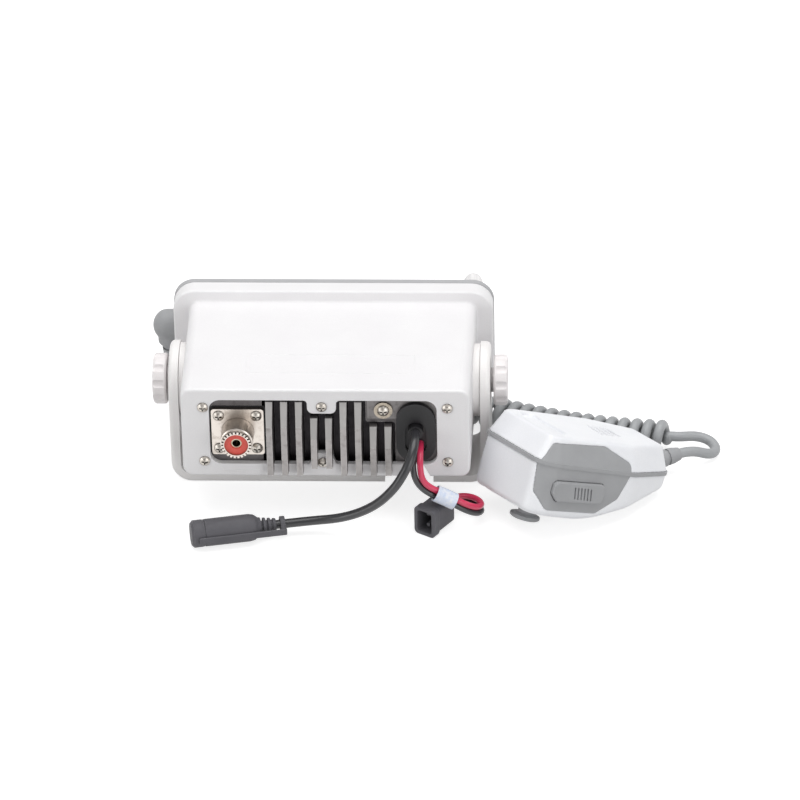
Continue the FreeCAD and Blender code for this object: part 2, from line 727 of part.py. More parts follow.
def face_outline(shrink="0", corner="sizes.face_corner"):
    """The rounded section of the front panel."""
    width = "sizes.face_width - 2 * (%s)" % shrink
    height = "sizes.face_height - 2 * (%s)" % shrink
    return (box_corners("0", PIVOT, width, height), corner)


def post_places():
    """Where the front board rests on the bezel."""
    return [("-61.8", "%s + 17.4" % PIVOT), ("-61.8", "%s - 17.4" % PIVOT),
            ("68", "%s + 15" % PIVOT), ("68", "%s - 15" % PIVOT)]


def build_bezel():
    """The front frame, drafted to the panel, open behind, with a window seat, key holes and a grille."""
    body = new_body("front_bezel")
    loft(body, "XZ", BEZEL_BACK, flange_outline("0.3", "sizes.flange_corner"), FACE, face_outline())
    front = num(FACE)
    soften(body, "sizes.face_round", lambda e: near(e.BoundBox.YMin, front) and near(e.BoundBox.YMax, front))
    inner = "sizes.flange_corner - sizes.bezel_wall - 1"
    loft(body, "XZ", BEZEL_BACK, flange_outline("sizes.bezel_wall + 1.3", inner), FACE_IN,
         face_outline("sizes.bezel_wall + 0.4", "sizes.face_corner - sizes.bezel_wall"), cut=True)
    middle = "(%s + sizes.window_rise)" % PIVOT
    seat = box_corners("sizes.window_x", middle, "sizes.window_width + 0.3", "sizes.window_height + 0.3")
    pocket(body, "XZ", FACE + " - 1", FACE + " + sizes.window_thick + 0.1", [(seat, "2.2")])
    hole = box_corners("sizes.window_x", middle, "sizes.window_width - 2 * sizes.window_ledge",
                       "sizes.window_height - 2 * sizes.window_ledge")
    shafts = [(x, z, "sizes.knob_shaft / 2 + 0.5") for x, z in KNOB_PLACES]
    pocket(body, "XZ", FACE + " - 1", FACE_IN + " + 1", [(hole, "1")] + shafts)
    key = box_corners(key_place(0), KEY_ROW, "sizes.key_width + 2 * sizes.key_gap",
                      "sizes.key_height + 2 * sizes.key_gap")
    key_hole = pocket(body, "XZ", FACE + " - 1", FACE_IN + " + 1", [(key, "1.3")])
    along(body, [key_hole], "X", "sizes.key_pitch", KEYS)
    for row in range(-2, 3):
        slot = box_corners("sizes.grille_x", "%s + %d * sizes.grille_pitch" % (PIVOT, row),
                           "sizes.grille_width - %d" % (abs(row) * 4), "sizes.grille_slot")
        pocket(body, "XZ", FACE + " - 1", FACE_IN + " + 1", [(slot, "sizes.grille_slot / 2 - 0.05")])
    pad(body, "XZ", FACE_IN, BOARD_FRONT, [(x, z, "1.9") for x, z in post_places()])


KNOB_PLACES = [("sizes.small_knob_x", "%s + sizes.small_knob_rise" % PIVOT),
               ("sizes.small_knob_x", "%s - sizes.small_knob_rise" % PIVOT),
               ("sizes.large_knob_x", "%s + sizes.large_knob_rise" % PIVOT)]


def build_knob(label, across, up, width, length, scoops):
    """A round knob with its shaft, turned about its own axis and scalloped for grip."""
    body = new_body(label)
    back = "%s - sizes.knob_gap" % FACE
    tip = "%s - %s" % (back, length)
    half = "%s / 2" % width
    turn(body, "Y", [("%s + 5" % FACE_IN, "0"), ("%s + 5" % FACE_IN, "sizes.knob_shaft / 2"),
                     (back, "sizes.knob_shaft / 2"), (back, half), ("%s + 3" % tip, "%s - 0.5" % half),
                     ("%s + 0.8" % tip, "%s - 1.1" % half), (tip, "%s - 2.2" % half), (tip, "0")])
    scoop = pocket(body, "XZ", tip + " - 1", tip + " + %s * 0.62" % length,
                   [("0", "%s + 1.15" % half, "1.9")])
    around(body, [scoop], "Y", scoops)
    line = box_corners("0", "%s - 1.5" % half, "0.9", "2.6")
    pocket(body, "XZ", tip + " - 1", tip + " + 0.5", [(line, None)])
    place(body, across, "0", up)


def build_keys():
    """Six sprung keys, each with a flange behind the panel and a stem to its dome."""
    for index in range(KEYS):
        body = new_body("key_%d" % (index + 1))
        cap = box_corners("0", "0", "sizes.key_width", "sizes.key_height")
        pad(body, "XZ", FACE + " - sizes.key_proud", FACE_IN + " + 0.95", [(cap, "1")])
        soft = num(FACE + " - sizes.key_proud")
        soften(body, "0.5", lambda e: near(e.BoundBox.YMin, soft) and near(e.BoundBox.YMax, soft))
        flange = box_corners("0", "0", "sizes.key_width + 1.6", "sizes.key_height + 2")
        pad(body, "XZ", FACE_IN + " + 0.15", FACE_IN + " + 0.95", [(flange, "1")])
        pad(body, "XZ", FACE_IN + " + 0.9", MEMBRANE_FRONT + " - sizes.key_travel - 0.12",
            [(box_corners("0", "0", "sizes.key_width - 3", "sizes.key_height - 2"), None)])
        place(body, key_place(index), "0", KEY_ROW)


def build_front_parts():
    """The window, the display, the front board with its controls, and the loudspeaker."""
    middle = "(%s + sizes.window_rise)" % PIVOT
    body = new_body("display_window")
    pane = box_corners("sizes.window_x", middle, "sizes.window_width", "sizes.window_height")
    pad(body, "XZ", FACE + " + 0.1", FACE + " + sizes.window_thick + 0.1", [(pane, "2")])
    body = new_body("lcd_module")
    screen = box_corners("sizes.window_x", middle, "sizes.window_width - 0.6", "sizes.window_height - 1")
    pad(body, "XZ", FACE_IN, BOARD_FRONT, [(screen, None)])
    body = new_body("front_board")
    hole = ("sizes.grille_x", PIVOT, "sizes.speaker_width / 2 + 0.8")
    pad(body, "XZ", BOARD_FRONT, BOARD_FRONT + " + 1.6", [face_outline("3.6", "5"), hole])
    body = new_body("key_membrane")
    sheet_width = "%d * sizes.key_pitch - 0.6" % KEYS
    pad(body, "XZ", MEMBRANE_FRONT, BOARD_FRONT,
        [(box_corners("sizes.window_x", KEY_ROW, sheet_width, "sizes.key_height + 1"), None)])
    body = new_body("speaker")
    back = FACE_IN + " + sizes.speaker_depth"
    turn(body, "Y", [(FACE_IN, "0"), (FACE_IN, "sizes.speaker_width / 2"),
                     (FACE_IN + " + 2.2", "sizes.speaker_width / 2"),
                     (FACE_IN + " + 6.5", "sizes.speaker_width * 0.3"),
                     (back, "sizes.speaker_width * 0.3"), (back, "0")])
    place(body, "sizes.grille_x", "0", PIVOT)
    pots = []
    for index, (x, z) in enumerate(KNOB_PLACES):
        left, right, half = ("1.6", "5.4", "2.6") if index < 2 else ("6", "6", "6")
        block = make_box("pot_block_%d" % index, ("%s - %s" % (x, left), FACE_IN + " + 0.3", "%s - %s" % (z, half)),
                         ("%s + %s" % (x, right), BOARD_FRONT, "%s + %s" % (z, half)))
        bore = make_rod("pot_bore_%d" % index, "Y", "sizes.knob_shaft / 2 + sizes.stud_play",
                        (x, FACE_IN, z), "5.4")
        pots.append(cut("pot_%d" % index, block, bore))
    group("knob_potentiometers", pots[:2])
    keep(pots[2], "channel_encoder")


def build_inner_parts():
    """The main board on the chassis tray, its shield can and the transmitter's power module."""
    deck = "(%s - sizes.plate_height / 2 + sizes.tray_thick)" % PIVOT
    front = "(%s - sizes.tray_length + 2)" % PLATE_FRONT
    keep(make_box("main_board", ("-55", front, deck), ("55", PLATE_FRONT + " - 0.4", deck + " + 1.6")), "main_board")
    can = make_box("can_block", ("-48", front + " + 8", deck + " + 1.6"), ("14", front + " + 46", deck + " + 10.6"))
    hollow = make_box("can_hollow", ("-47.4", front + " + 8.6", deck + " + 1"),
                      ("13.4", front + " + 45.4", deck + " + 10"))
    keep(cut("rf_shield", can, hollow), "rf_shield")
    keep(make_box("power_module", ("-8", PLATE_FRONT + " - 9", deck + " + 1.6"), ("26", PLATE_FRONT, deck + " + 12")),
         "power_module")


# Antenna socket, screws and gland
def build_socket():
    """The coaxial socket: square flange, threaded barrel with a serrated rim, insulator and contact."""
    body = new_body("antenna_socket")
    seat = WALL_IN
    face = "%s + sizes.socket_flange_thick" % seat
    tip = "%s + sizes.socket_length" % face
    pad(body, "XZ", seat, face, [(box_corners("0", "0", "sizes.socket_flange", "sizes.socket_flange"), "1.4")])
    turn(body, "Y", [(seat, "0"), (seat, "sizes.socket_barrel / 2"), ("%s - 2.4" % tip, "sizes.socket_barrel / 2"),
                     ("%s - 1.9" % tip, "sizes.socket_rim / 2"), (tip, "sizes.socket_rim / 2"), (tip, "0")])
    span = "sizes.socket_screw_span / 2"
    holes = [("%s%s" % (i, span), "%s%s" % (j, span), "1.4") for i in ("", "-") for j in ("", "-")]
    pocket(body, "XZ", seat + " - 1", tip + " + 1", [("0", "0", "sizes.socket_bore / 2")] + holes)
    notch = pocket(body, "XZ", tip + " - 1.3", tip + " + 1",
                   [(box_corners("0", "sizes.socket_rim / 2 - 0.3", "0.8", "1.6"), None)])
    around(body, [notch], "Y", "sizes.socket_notches")
    place(body, "sizes.socket_x", "0", PIVOT)
    body = new_body("antenna_insulator")
    turn(body, "Y", [(seat + " - 2", "sizes.contact_width / 2"), (seat + " - 2", "sizes.socket_bore / 2"),
                     (tip + " - 1.2", "sizes.socket_bore / 2"), (tip + " - 1.2", "sizes.contact_width / 2 + 0.4"),
                     (tip + " - 2", "sizes.contact_width / 2")])
    place(body, "sizes.socket_x", "0", PIVOT)
    body = new_body("antenna_contact")
    turn(body, "Y", [(seat + " - 8", "0"), (seat + " - 8", "1"), (seat + " - 2.6", "1"),
                     (seat + " - 2.6", "sizes.contact_width / 2"), (tip + " - 2", "sizes.contact_width / 2"),
                     (tip + " - 2", "sizes.contact_bore / 2"), (tip + " - 10", "sizes.contact_bore / 2"),
                     (tip + " - 10", "0")])
    place(body, "sizes.socket_x", "0", PIVOT)
    body = new_body("antenna_gasket")
    pad(body, "XZ", seat + " - sizes.socket_gasket", seat,
        [(box_corners("0", "0", "sizes.socket_flange + 2", "sizes.socket_flange + 2"), "2"),
         ("0", "0", "sizes.socket_bore / 2 + 0.3")] + holes)
    place(body, "sizes.socket_x", "0", PIVOT)
    screws = [pan_screw("antenna_screw_%d" % (k + 1), ("sizes.socket_x %s %s" % (i, span), face, "%s %s %s" % (PIVOT, j, span)),
                        "5.4", "2.4", "6") for k, (i, j) in enumerate(("++", "+-", "-+", "--"))]
    group("antenna_screws", screws)


def build_screws():
    """The six case screws, and the ground screw on its toothed washer."""
    group("case_screws", [pan_screw("case_screw_%d" % (k + 1), (x, REAR, z), "sizes.case_screw_head",
                                    "sizes.case_screw", "sizes.rear_wall + 4.6")
                          for k, (x, z) in enumerate(screw_places())])
    rise = "%s + sizes.ground_rise" % PIVOT
    keep(pan_screw("ground", ("sizes.ground_x", WALL_IN + " + 0.9", rise), "5.6", "2.9", "6.4"), "ground_screw")
    body = new_body("ground_washer")
    pad(body, "XZ", WALL_IN, WALL_IN + " + 0.9", [("0", "0", "sizes.ground_washer / 2"), ("0", "0", "1.6")])
    place(body, "sizes.ground_x", "0", rise)


def build_grommet():
    """The rubber gland: an oval flange and neck through the plate, a dished face and a cable collar."""
    body = new_body("cable_grommet")
    wide = "sizes.grommet_width"
    tall = "sizes.grommet_height"
    neck_wide = "sizes.grommet_width - 2 * sizes.grommet_neck - 0.1"
    neck_tall = "sizes.grommet_height - 2 * sizes.grommet_neck - 0.1"
    pad(body, "XZ", WALL_IN, WALL_IN + " + 2.6", [(box_corners("0", "0", wide, tall), wide + " / 2 - 0.1")])
    pad(body, "XZ", PLATE_FRONT + " - 1.6", WALL_IN, [(box_corners("0", "0", neck_wide, neck_tall),
                                                       "(%s) / 2 - 0.1" % neck_wide)])
    dish_wide = wide + " - 8.4"
    pocket(body, "XZ", WALL_IN + " + 0.8", WALL_IN + " + 4",
           [(box_corners("0", "-3", dish_wide, tall + " - 14.5"), "(%s) / 2 - 0.1" % dish_wide)])
    pad(body, "XZ", WALL_IN + " + 0.6", WALL_IN + " + 2.6 + sizes.collar_length",
        [("0", "sizes.collar_rise", "sizes.collar_width / 2")])
    place(body, "sizes.grommet_x", "0", PIVOT)


# Tilt hardware
def build_tilt_parts():
    """Friction discs trimmed to the case sides, brass inserts, and the two clamp knobs."""
    envelope = doc.addObject("PartDesign::Body", "case_envelope")
    loft(envelope, "XZ", REAR, case_outline("0", "0", "sizes.case_corner"), FLANGE_BACK,
         case_outline("sizes.case_flare", "0", "sizes.case_corner"))
    discs = []
    inserts = []
    reach = ARM_IN + " - sizes.disc_gap"
    for name, start, deep in (("left", CASE_SIDE + " - 1.6", CASE_SIDE + " - sizes.tilt_boss_reach"),
                              ("right", "-(%s)" % reach, "-(%s) + 0.3" % CASE_SIDE)):
        disc = make_rod("disc_" + name, "X", "sizes.tilt_disc / 2", (start, "0", PIVOT),
                        "%s - (%s - 1.6)" % (reach, CASE_SIDE))
        bore = make_rod("disc_bore_" + name, "X", "sizes.insert_width / 2 + sizes.fit_gap", (start + " - 1", "0", PIVOT),
                        "%s - (%s - 1.6) + 2" % (reach, CASE_SIDE))
        discs.append(cut("trimmed_disc_" + name, disc, fuse("disc_tool_" + name, [envelope, bore])))
        sleeve = make_rod("insert_" + name, "X", "sizes.insert_width / 2 - 0.02", (deep, "0", PIVOT),
                          "sizes.tilt_boss_reach - 0.3")
        thread = make_rod("insert_bore_" + name, "X", "sizes.stud / 2 + sizes.stud_play", (deep + " - 1", "0", PIVOT),
                          "sizes.tilt_boss_reach + 2")
        inserts.append(cut("bored_insert_" + name, sleeve, thread))
    group("tilt_discs", discs)
    group("tilt_inserts", inserts)


def build_side_knob(label, turned):
    """A clamp knob: a shallow scalloped wheel with a hub, on the stud that screws into the case."""
    body = new_body(label)
    hub = ARM_OUT + " + sizes.side_knob_play"
    wheel = hub + " + sizes.side_knob_hub_gap"
    rim = "%s + sizes.side_knob_thick" % wheel
    half = "sizes.side_knob / 2"
    start = CASE_SIDE + " - sizes.tilt_boss_reach + 0.6"
    turn(body, "X", [(start, "0"), (start, "sizes.stud / 2"), (hub, "sizes.stud / 2"), (hub, "sizes.side_knob_hub / 2"),
                     (wheel, "sizes.side_knob_hub / 2"), (wheel, half + " - 0.8"), (wheel + " + 0.8", half),
                     (rim + " - 1.4", half), (rim + " - 0.4", half + " - 0.5"), (rim, half + " - 1.5"),
                     (rim, "5"), (rim + " - 0.6", "4.4"), (rim + " - 0.6", "0")])
    scoop = pocket(body, "YZ", wheel + " + 1.2", rim + " + 1", [("0", half + " + 1.5", "2.6")])
    around(body, [scoop], "X", "sizes.side_knob_scoops")
    body.Placement = FreeCAD.Placement(FreeCAD.Vector(), FreeCAD.Rotation(FreeCAD.Vector(0, 0, 1), turned))
    place(body, "0", "0", PIVOT)


# Cord boot on the bezel's side
BOOT_X = "(sizes.boot_end - 8)"
BOOT_Z = "(%s + sizes.boot_rise)" % PIVOT


def build_boot():
    """The domed boot on the bezel's side and the ribbed strain relief that hangs from it."""
    envelope = doc.addObject("PartDesign::Body", "bezel_envelope")
    loft(envelope, "XZ", BEZEL_BACK, flange_outline("0.3", "sizes.flange_corner"), FACE, face_outline())
    dome_x = "sizes.boot_end - sizes.boot_width / 2"
    stem = make_rod("boot_stem", "X", "sizes.boot_width / 2", ("sizes.face_width / 2", "sizes.boot_y", BOOT_Z),
                    "%s - sizes.face_width / 2" % dome_x)
    dome = doc.addObject("Part::Sphere", "boot_dome")
    dome.setExpression("Radius", "sizes.boot_width / 2")
    place(dome, dome_x, "sizes.boot_y", BOOT_Z)
    drop = make_rod("boot_drop", "Z", "sizes.relief_top / 2 + 0.6", (BOOT_X, "sizes.boot_y", BOOT_Z + " - 8.2"), "8.2")
    keep(cut("cord_boot", fuse("boot_solid", [stem, dome, drop]), envelope), "cord_boot")
    body = new_body("cord_strain_relief")
    top = "%s - 8.2" % BOOT_Z
    low = "%s - sizes.relief_length" % top
    wide = "sizes.relief_top / 2"
    slim = "sizes.relief_tip / 2"
    profile = [(top, "0"), (top, wide)]
    for rib in range(3):
        step = top + " - 3.2 - %d * 3.6" % rib
        edge = "%s - (%s - %s) * %.2f" % (wide, wide, slim, (rib + 1) / 5)
        profile += [(step, edge), (step, edge + " - 1.2"), (step + " - 1.4", edge + " - 1.2"),
                    (step + " - 1.4", edge + " - 0.1")]
    turn(body, "Z", profile + [(low, slim), (low, "0")])
    place(body, BOOT_X, "sizes.boot_y", "0")


# Cords
def corner_edges(start, middle, end):
    """The edges that round one corner between two tangent points, as one arc."""
    half = (start + end) * 0.5
    depth = middle - half
    tangent = (middle - start).Length
    if depth.Length < 1e-6:
        return [Part.LineSegment(start, end).toShape()], 1e9
    turn_half = math.asin(min(1.0, depth.Length / tangent))
    crown = middle - depth.normalize() * (tangent * math.tan(turn_half / 2))
    return [Part.Arc(start, crown, end).toShape()], tangent / math.tan(turn_half)


def route(points):
    """A wire of straight runs and tangent arcs through hand-placed points, and its least radius."""
    edges = []
    radii = []
    here = points[0]
    for k in range(1, len(points) - 1):
        run_in = points[k] - points[k - 1]
        run_out = points[k + 1] - points[k]
        reach = 0.45 * min(run_in.Length, run_out.Length)
        start = points[k] - run_in.normalize() * reach
        end = points[k] + run_out.normalize() * reach
        edges.append(Part.LineSegment(here, start).toShape())
        arc, radius = corner_edges(start, points[k], end)
        edges += arc
        radii.append(radius)
        here = end
    edges.append(Part.LineSegment(here, points[-1]).toShape())
    return Part.Wire(edges), radii


def tube(label, points, width):
    """A cord's free stretch: a round tube along its route."""
    wire, radii = route(points)
    ring = Part.Circle(points[0], points[1] - points[0], width / 2).toShape()
    solid = wire.makePipeShell([Part.Wire([ring])], True, False)
    ideal = math.pi * width * width / 4 * wire.Length
    print("%-20s length %.1f, radii %s, volume ratio %.4f" % (
        label, wire.Length, " ".join("%.0f" % r for r in radii), solid.Volume / ideal))
    feature = doc.addObject("Part::Feature", label)
    feature.Shape = solid
    return keep(feature, label)


def biarc(start, start_way, end, end_way):
    """Two tangent arcs between two points with given directions."""
    gap = end - start
    ways = start_way + end_way
    spread = 2 * (1 - start_way.dot(end_way))
    dot = gap.dot(ways)
    reach = (-dot + math.sqrt(dot * dot + spread * gap.dot(gap))) / spread
    first = start + start_way * reach
    last = end - end_way * reach
    joint = (first + last) * 0.5
    return corner_edges(start, first, joint)[0] + corner_edges(joint, last, end)[0]


COIL_AXIS = [(-14, -65, 8.4), (-32, -56, 8.4), (-52, -46, 8.4), (-74, -36.5, 8.4), (-96, -28, 8.4),
             (-118, -20.5, 8.4), (-140, -15, 8.4), (-160, -13, 8.4)]
COIL_AXIS = [FreeCAD.Vector(*point) for point in COIL_AXIS]


def coil_points(steps):
    """Points of the curl about the coil's axis, with its radius drawn in at both ends."""
    axis, _ = route(COIL_AXIS)
    turns = int(num("sizes.coil_turns"))
    radius = num("sizes.coil_radius")
    spots = axis.discretize(Number=turns * steps + 1)
    rings = []
    for k, spot in enumerate(spots):
        ahead = spots[min(k + 1, len(spots) - 1)] - spots[max(k - 1, 0)]
        side = ahead.cross(FreeCAD.Vector(0, 0, 1)).normalize()
        angle = 2 * math.pi * k / steps
        ends = min(k, len(spots) - 1 - k) / steps
        size = radius * (1 - math.cos(min(1.0, ends) * math.pi)) / 2
        rings.append(spot + side * (size * math.cos(angle)) + FreeCAD.Vector(0, 0, size * math.sin(angle)))
    return rings


def build_coil():
    """The curly part of the microphone cord: one unbroken tube wound about a curved axis."""
    steps = 2
    fine = 16
    dense = coil_points(steps * fine)
    spots = dense[::fine]
    ways = [(dense[min(k * fine + 1, len(dense) - 1)] - dense[max(k * fine - 1, 0)]).normalize()
            for k in range(len(spots))]
    lead = num("sizes.curly_wire")
    edges = [Part.LineSegment(spots[0] - ways[0] * lead, spots[0]).toShape()]
    for k in range(len(spots) - 1):
        edges += biarc(spots[k], ways[k], spots[k + 1], ways[k + 1])
    edges.append(Part.LineSegment(spots[-1], spots[-1] + ways[-1] * lead).toShape())
    wire = Part.Wire(edges)
    ring = Part.Circle(spots[0] - ways[0] * lead, ways[0], num("sizes.curly_wire") / 2).toShape()
    solid = wire.makePipeShell([Part.Wire([ring])], True, False)
    per_turn = steps * fine
    least = min((dense[k] - dense[j]).Length for k in range(0, len(dense) - per_turn, 4)
                for j in range(k + per_turn - 10, min(len(dense), k + per_turn + 11)))
    print("mic_cord_coil        length %.1f, least gap to itself %.2f" % (wire.Length, least - lead))
    feature = doc.addObject("Part::Feature", "mic_cord_coil")
    feature.Shape = solid
    keep(feature, "mic_cord_coil")
    return spots[0] - ways[0] * lead, ways[0], spots[-1] + ways[-1] * lead, ways[-1]


def to_vectors(rows):
    """Hand-placed points as vectors."""
    return [FreeCAD.Vector(*row) for row in rows]


def build_cords():
    """The microphone cord's two plain stretches, the accessory cable and the power leads."""
    start, start_way, end, end_way = build_coil()
    relief_tip = vec(BOOT_X, "sizes.boot_y", "%s - 8.2 - sizes.relief_length" % BOOT_Z)
    tail = [relief_tip] + to_vectors([
        (82.5, -51.2, 17.2), (82.4, -53.4, 12.0), (80.6, -57.8, 7.4), (76.0, -63.2, 4.2), (68.5, -69.6, 2.8),
        (58.0, -75.4, 2.6), (45.5, -79.2, 2.7), (32.0, -80.0, 3.0), (19.0, -77.6, 4.0), (7.0, -73.4, 5.8),
        (-1.6, -69.6, 8.0)]) + [start - start_way * 6, start]
    tube("mic_cord_tail", tail, num("sizes.curly_wire"))
    lead = [end, end + end_way * 7] + to_vectors([(-179.4, -15.0, 6.6), (-186.4, -13.4, 5.0), (-189.6, -7.8, 3.8),
                               (-186.6, -2.4, 4.0)]) + [RELIEF_TIP + LEVEL_WAY * 7, RELIEF_TIP]
    tube("mic_cord_lead", lead, num("sizes.curly_wire"))
    collar = vec("sizes.grommet_x", WALL_IN + " + 2.6 + sizes.collar_length", "%s + sizes.collar_rise" % PIVOT)
    plug = vec(*PLUG_ORIGIN)
    plug_way = FreeCAD.Rotation(FreeCAD.Vector(0, 0, 1), num("sizes.plug_yaw")).multVec(FreeCAD.Vector(1, 0, 0))
    pin_way = FreeCAD.Rotation(FreeCAD.Vector(0, 0, 1), num("sizes.connector_yaw")).multVec(FreeCAD.Vector(1, 0, 0))
    cable = [collar] + to_vectors([
        (-43.6, 61.2, 50.7), (-42.5, 67.4, 46.9), (-39.4, 71.8, 40.4), (-33.4, 73.6, 30.6), (-23.6, 72.0, 19.8),
        (-9.0, 67.4, 10.6)]) + [plug - plug_way * 16, plug]
    tube("accessory_cable", cable, num("sizes.cable_width"))
    sides = (("power_lead_red", -1.7, 1.75), ("power_lead_black", 1.7, -1.75))
    face = num(WALL_IN + " + 0.8")
    exit_z = num("%s - sizes.lead_drop" % PIVOT)
    for label, across, rise in sides:
        rise_up = FreeCAD.Vector(0, 0, rise)
        start = FreeCAD.Vector(num("sizes.grommet_x") - 0.6 + across, face, exit_z)
        rear = vec(*CONNECTOR_ORIGIN) + rise_up
        lead_route = [start, start + FreeCAD.Vector(0, 6.2, 0)] + to_vectors([
            (start.x, 61.4, 38.8), (-44.5 + across, 63.8, 33.4), (-46.4 + across * 0.9, 64.2, 28.4 + rise * 0.3),
            (-50.2 + across * 0.6, 63.6, 24.4 + rise * 0.7), (-55.4, 63.0, 21.4 + rise), (-61.4, 62.9, 18.2 + rise),
            (-67.6, 62.2, 13.8 + rise), (-73.0, 59.2, 10.0 + rise), (-75.6, 53.6, 8.2 + rise),
            (-73.2, 47.8, 7.75 + rise), (-67.4, 44.6, 7.75 + rise)]) + [rear - pin_way * 6, rear]
        tube(label, lead_route, num("sizes.lead_width"))
    wire, _ = route(to_vectors([(-53.2, 63.2, 22.6), (-58.2, 63.0, 19.9), (-62.6, 62.8, 17.4)]))
    outer = Part.Circle(wire.Vertexes[0].Point, FreeCAD.Vector(-5, -0.2, -2.7), num("sizes.sleeve_width") / 2)
    inner = Part.Circle(wire.Vertexes[0].Point, FreeCAD.Vector(-5, -0.2, -2.7), num("sizes.sleeve_width") / 2 - 0.6)
    skin = wire.makePipeShell([Part.Wire([outer.toShape()])], True, False)
    core = wire.makePipeShell([Part.Wire([inner.toShape()])], True, False)
    feature = doc.addObject("Part::Feature", "lead_sleeve")
    feature.Shape = skin.cut(core)
    keep(feature, "lead_sleeve")


# Plugs
PLUG_ORIGIN = ("24.3", "67.7", "6.75")
CONNECTOR_ORIGIN = ("-57.4", "51.5", "7.75")


def yaw_piece(piece, origin, yaw):
    """Stand a piece that was modelled along +X at its place, turned about the vertical."""
    piece.Placement = FreeCAD.Placement(FreeCAD.Vector(), FreeCAD.Rotation(FreeCAD.Vector(0, 0, 1), num(yaw)))
    place(piece, *origin)


def build_plug():
    """The accessory plug: a ribbed neck, a waisted grip, a pull-off cap and the cap's strap."""
    body = new_body("accessory_plug")
    half = "sizes.plug_width / 2"
    neck = "sizes.plug_neck_length"
    end = "%s + sizes.plug_length" % neck
    profile = [("0", "0"), ("0", "3.2")]
    for rib in range(3):
        step = "1.6 + %d * 2.4" % rib
        profile += [(step, "3.5 + %d * 0.35" % rib), (step, "2.7"), (step + " + 1", "2.7"),
                    (step + " + 1", "3.7 + %d * 0.35" % rib)]
    profile += [(neck + " - 0.4", "4.6"), (neck + " + 1.6", half + " - 0.5"), (neck + " + 4", half),
                (end, half), (end, "4.9"), ("%s + sizes.cap_seat - 0.7" % end, "4.9"),
                ("%s + sizes.cap_seat - 0.7" % end, "0")]
    turn(body, "X", profile)
    yaw_piece(body, PLUG_ORIGIN, "sizes.plug_yaw")
    body = new_body("plug_cap")
    tip = "%s + 0.15 + sizes.cap_length" % end
    turn(body, "X", [(end + " + 0.15", "4.9 + sizes.stud_play"), (end + " + 0.15", half + " - 0.2"),
                     (end + " + 1.4", half), (tip + " - 1.2", half), (tip, half + " - 1.2"), (tip, "0"),
                     ("%s + sizes.cap_seat - 0.3" % end, "0"), ("%s + sizes.cap_seat - 0.3" % end, "4.9 + sizes.stud_play")])
    yaw_piece(body, PLUG_ORIGIN, "sizes.plug_yaw")
    strap = make_box("strap_bar", ("-2.6", half + " + 0.15", "-1.7"), (end + " + 3.4", half + " + 1.25", "1.7"))
    ring = make_rod("strap_ring", "X", "3.9", ("-4.4", "0", "0"), "2.4")
    arm = make_box("strap_arm", ("-4.4", "2.6", "-1.7"), ("-2", half + " + 1.25", "1.7"))
    bore = make_rod("strap_bore", "X", "sizes.cable_width / 2 + 0.15", ("-5", "0", "0"), "4")
    piece = keep(cut("cap_strap", fuse("strap_solid", [strap, ring, arm]), bore), "cap_strap")
    yaw_piece(piece, PLUG_ORIGIN, "sizes.plug_yaw")


def build_connector():
    """The rubber power connector: a deep oblong mouth with a middle rib, a rear hood and a front collar."""
    body = new_body("power_connector")
    wide = "sizes.connector_width"
    tall = "sizes.connector_height"
    end = "sizes.connector_length"
    pad(body, "YZ", "0", end, [(box_corners("0", "0", wide + " - 1.2", tall + " - 1.2"), "2.2")])
    pad(body, "YZ", end + " - 4.6", end, [(box_corners("0", "0", wide, tall), "2.4")])
    mouth_wide = wide + " - 2 * sizes.connector_wall"
    mouth_tall = tall + " - 2 * sizes.connector_wall"
    pocket(body, "YZ", end + " - sizes.connector_depth", end + " + 1", [(box_corners("0", "0", mouth_wide, mouth_tall), "1.4")])
    for up in ("3.1", "-3.1"):
        pad(body, "YZ", end + " - sizes.connector_depth", end + " - 3.4", [("0", up, "1.1")])
    yaw_piece(body, CONNECTOR_ORIGIN, "sizes.connector_yaw")


# Microphone, modelled about its own parting plane: +Y to its top, -X to the talk key, +Z out of its front
MIC_TURN = (FreeCAD.Rotation(FreeCAD.Vector(0, 0, 1), num("sizes.mic_yaw") - 90)
            * FreeCAD.Rotation(FreeCAD.Vector(1, 0, 0), num("sizes.mic_pitch"))
            * FreeCAD.Rotation(FreeCAD.Vector(0, 1, 0), num("sizes.mic_roll")))


def mic_point(x, y, z):
    """A point of the microphone in the radio's frame."""
    return MIC_TURN.multVec(FreeCAD.Vector(x, y, z)) + vec("sizes.mic_x", "sizes.mic_y", "sizes.mic_z")


def mic_place(piece):
    """Lay a piece of the microphone where the microphone rests."""
    piece.Placement = FreeCAD.Placement(FreeCAD.Vector(), MIC_TURN)
    place(piece, "sizes.mic_x", "sizes.mic_y", "sizes.mic_z")


MIC_TOP = "(sizes.mic_length * 0.476)"
MIC_TAIL = "(sizes.mic_length * -0.524)"


def mic_outline(shrink="0", corner=None):
    """The microphone's face outline: broad shoulders, a long taper and a narrow tail."""
    shrink = "(%s)" % shrink
    right = [("sizes.mic_tail_width / 2 - %s * 0.8" % shrink, MIC_TAIL + " + %s" % shrink),
             ("sizes.mic_width / 2 - %s" % shrink, "sizes.mic_waist"),
             ("sizes.mic_width / 2 - %s" % shrink, "sizes.mic_shoulder"),
             ("sizes.mic_top_width / 2 - %s" % shrink, MIC_TOP + " - %s" % shrink)]
    left = [("-(%s)" % x, y) for x, y in reversed(right)]
    if corner:
        return (right + left, corner)
    corner = "sizes.mic_corner - %s * 0.7" % shrink
    return (right + left, [corner, "14", "9", corner, corner, "9", "14", corner])


